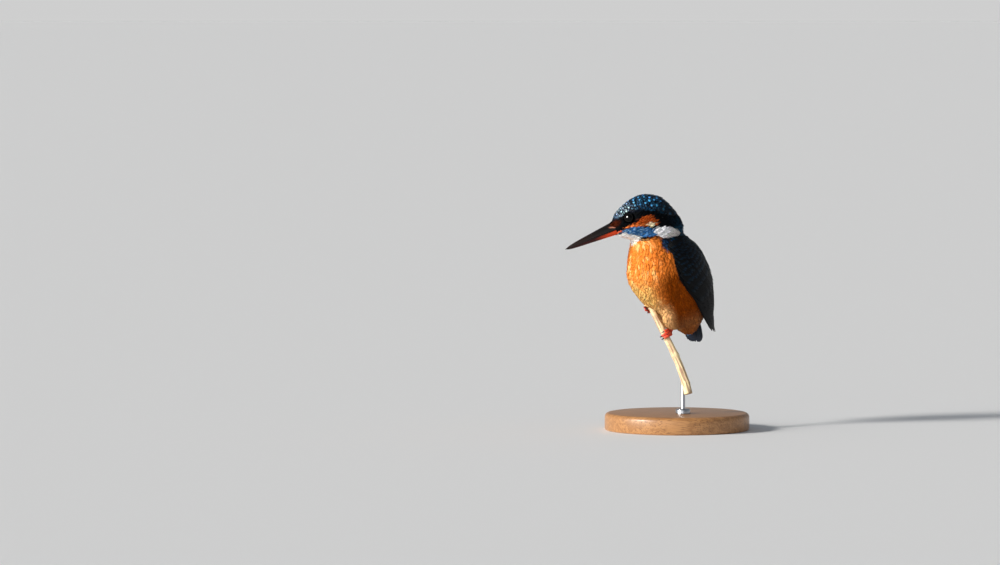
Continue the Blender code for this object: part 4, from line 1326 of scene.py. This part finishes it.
# %% Bark
twig_mesh = remeshed("twig", copy_of("perch"), 0.4 * MM, 1)
co, out = rows_of(twig_mesh), rows_of(twig_mesh, field="normal")
middle = co.mean(0)
axis = np.linalg.svd(co - middle, full_matrices=False)[2][0]
axis = axis * np.sign(axis[2])
along = (co - middle) @ axis
ends = np.abs(out @ axis) > 0.8
ends &= (along < along.min() + 2 * MM) | (along > along.max() - 2 * MM)
round_it = co - middle - along[:, None] * axis[None]
groove = noise_at(round_it * 900 + axis * along[:, None] * 60, 1)
lift = (0.1 * groove + 0.14 * noise_at(co, 160)) * MM * ~ends
twig_mesh.vertices.foreach_set("co", (co + out * lift[:, None]).ravel())
from_axis = np.linalg.norm(round_it, axis=1) / MM
for label, values in (("cut", ends.astype(float)), ("groove", groove), ("ring", from_axis)):
    marked(twig_mesh, label, values)
twig_mesh.shade_smooth()
bark = new_finish("bark", 0.75)
groove_in = bark.written("groove")
wood = bark.blend(bark.between(bark.noise(120, 4), 0.35, 0.68), ink(255, 232, 180), ink(222, 184, 142))
# painted shade: darker purple-brown down in the grooves
wood = bark.blend(bark.between(groove_in, 0.1, -0.35, 0, 0.7), wood, ink(128, 88, 78))
wood = bark.blend(bark.between(bark.noise(700, 5), 0.58, 0.7, 0, 0.5), wood, ink(96, 66, 58))
rings = bark.sum("SINE", bark.times(bark.written("ring"), 14.0))
pale_wood = bark.blend(bark.between(rings, -0.6, 1.0), ink(222, 196, 150), ink(188, 150, 104))
bark.coloured(bark.blend(bark.written("cut"), wood, pale_wood))
bark.raised(bark.sum("ADD", bark.noise(900, 6), groove_in), 0.5, 0.0003)
piece("twig_bark", twig_mesh, bark, ["perch"])
print("twig:", len(twig_mesh.polygons), "faces, axis", axis.round(2))

# %% [markdown]
# ## The stand
# A turned oak disc and a steel rod with a collar. Each is a profile spun about its axis, which gives the
# clean rounded edges of lathe work; the grain runs straight across the disc, as in a board.

# %% Lathe work
def lathed(name, profile, centre, steps, finish, stands_for):
    """Spins a profile of radius and height, in millimetres, about an upright axis."""
    whole = bmesh.new()
    verts = [whole.verts.new(Vector((r, 0, z)) * MM) for r, z in profile]
    for a, b in zip(verts, verts[1:]):
        whole.edges.new((a, b))
    spun(whole, steps)
    bmesh.ops.translate(whole, vec=Vector((*centre, 0)) * MM, verts=whole.verts)
    mesh = mesh_of(whole, name)
    mesh.shade_smooth()
    mesh.set_sharp_from_angle(angle=math.radians(32))
    piece(name, mesh, finish, stands_for)


print("the lathe is ready")

# %% Oak and steel
oak = new_finish("stand_wood", 0.42, Coat_Weight=0.25, Coat_Roughness=0.3)
warp = oak.noise(1.6, 4, oak.drawn_out((6, 60, 40), Location=(0, 1.2, 0.8)))
figure = oak.sum("SINE", oak.times(warp, 55.0))
pores = oak.noise(1.0, 3, oak.drawn_out((90, 2200, 1400)))
wood = oak.blend(oak.between(figure, -1, 1), ink(158, 110, 64), ink(178, 128, 78))
oak.coloured(oak.blend(oak.between(pores, 0.52, 0.64, 0, 0.55), wood, ink(92, 58, 32)))
oak.raised(pores, 0.25, 0.0001)

steel = new_finish("stand_steel", 0.3, Metallic=1.0)
brushed = steel.noise(1.0, 2, steel.drawn_out((400, 400, 9000)))
steel.coloured(steel.blend(brushed, ink(150, 152, 156), ink(204, 206, 210)))
steel.raised(brushed, 0.12, 0.00005)

print("oak and steel are mixed")

# %% The disc and the rod
_, base_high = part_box("stand_base")
rod_low, rod_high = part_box("stand_rod")
rim, top = base_high[0] / MM, base_high[2] / MM
ROUNDING = 3  # the radius of the disc's upper edge
profile = [(0, 0), (rim - 1.2, 0), (rim - 0.4, 0.35), (rim, 1.2), (rim, top - ROUNDING)]
for turn in np.radians([18, 36, 54, 72, 90]):
    profile.append((rim - ROUNDING + ROUNDING * math.cos(turn), top - ROUNDING + ROUNDING * math.sin(turn)))
lathed("stand_base_turned", [*profile, (0, top)], (0, 0), 144, oak, ["stand_base"])
low, high = rod_low[2] / MM, rod_high[2] / MM
at = ((rod_low[0] + rod_high[0]) / 2 / MM, (rod_low[1] + rod_high[1]) / 2 / MM)
wide = (rod_high[0] - rod_low[0]) / 2 / MM  # the collar at the rod's foot
profile = [(0, low), (wide, low), (wide, low + 2.4), (wide - 0.25, low + 2.8), (wide - 0.7, low + 3)]
profile += [(1.9, low + 3), (1.6, low + 3.15), (1.5, low + 3.5), (1.5, high - 0.2), (1.3, high), (0, high)]
lathed("stand_rod_turned", profile, at, 64, steel, ["stand_rod"])
print("stand turned; rod stands at", [round(x, 1) for x in at])

# %% [markdown]
# ## Studio
# A plain pale floor under three soft suns: the key high on the left, a broad low glow from the same side,
# and a weak fill from the camera's side. The camera stands far back with a long lens, three degrees above
# level, as for a shy bird, so nothing is drawn out by perspective.

# %% Floor
sheet = bmesh.new()
bmesh.ops.create_circle(sheet, cap_ends=True, segments=96, radius=300.0)
floor = bpy.data.objects.new("floor", mesh_of(sheet, "floor"))
bpy.context.scene.collection.objects.link(floor)
pale = new_finish("pale_floor", 0.9, Specular_IOR_Level=0.1, Base_Color=(0.8, 0.8, 0.8, 1))
floor.data.materials.append(pale.made)
print("floor laid")

# %% The air round the studio
# The air is as pale as the floor at the horizon, so that no line shows, and dimmer overhead.
air = bpy.data.worlds.new("studio_air")
sky = Nodes(air)
height = sky.between(sky.add("ShaderNodeSeparateXYZ", [sky.room("Generated")]).outputs[2], 0.0, 0.3)
pale_air = np.array([0.62, 0.62, 0.62])
dim_air = pale_air * np.array([0.32, 0.35, 0.39])
sky.tree.links.new(sky.blend(height, pale_air, dim_air), sky.tree.nodes["Background"].inputs[0])
bpy.context.scene.world = air


# %% Lights
def soft_sun(name, toward, strength, spread, colour):
    """A broad light so far away that the floor is lit evenly."""
    lamp = bpy.data.lights.new(name, "SUN")
    lamp.energy, lamp.angle, lamp.color = strength, math.radians(spread), colour
    made = bpy.data.objects.new(name, lamp)
    made.rotation_euler = Vector(toward).to_track_quat("-Z", "Y").to_euler()
    bpy.context.scene.collection.objects.link(made)


soft_sun("key", (0.88, 0.46, -0.45), 3.3, 10, (1.0, 0.97, 0.92))
soft_sun("low_glow", (0.9, 0.42, -0.06), 3.2, 40, (1.0, 0.97, 0.93))
soft_sun("fill", (0.25, 0.95, -0.1), 0.5, 40, (0.96, 0.98, 1.0))
bpy.context.scene.view_settings.view_transform = "Standard"

# %% Camera
camera = bpy.data.objects.new("camera", bpy.data.cameras.new("camera"))
bpy.context.scene.collection.objects.link(camera)
ELEVATION, AWAY, FRAME_WIDTH, SENSOR_WIDTH = math.radians(3), 3.5, 0.69, 36
ahead = Vector((0, math.cos(ELEVATION), -math.sin(ELEVATION)))
up = Vector((0, math.sin(ELEVATION), math.cos(ELEVATION)))
aim = Vector((-8.5, -5.5, 66)) * MM + Vector((-0.1139, 0, 0)) + up * 0.0362
camera.location = aim - ahead * AWAY
camera.rotation_euler = ahead.to_track_quat("-Z", "Y").to_euler()
camera.data.sensor_width = SENSOR_WIDTH
camera.data.lens = SENSOR_WIDTH * AWAY / FRAME_WIDTH
camera.data.clip_start, camera.data.clip_end = 0.1, 700
bpy.context.scene.camera = camera
print("camera at", [round(x, 3) for x in camera.location])
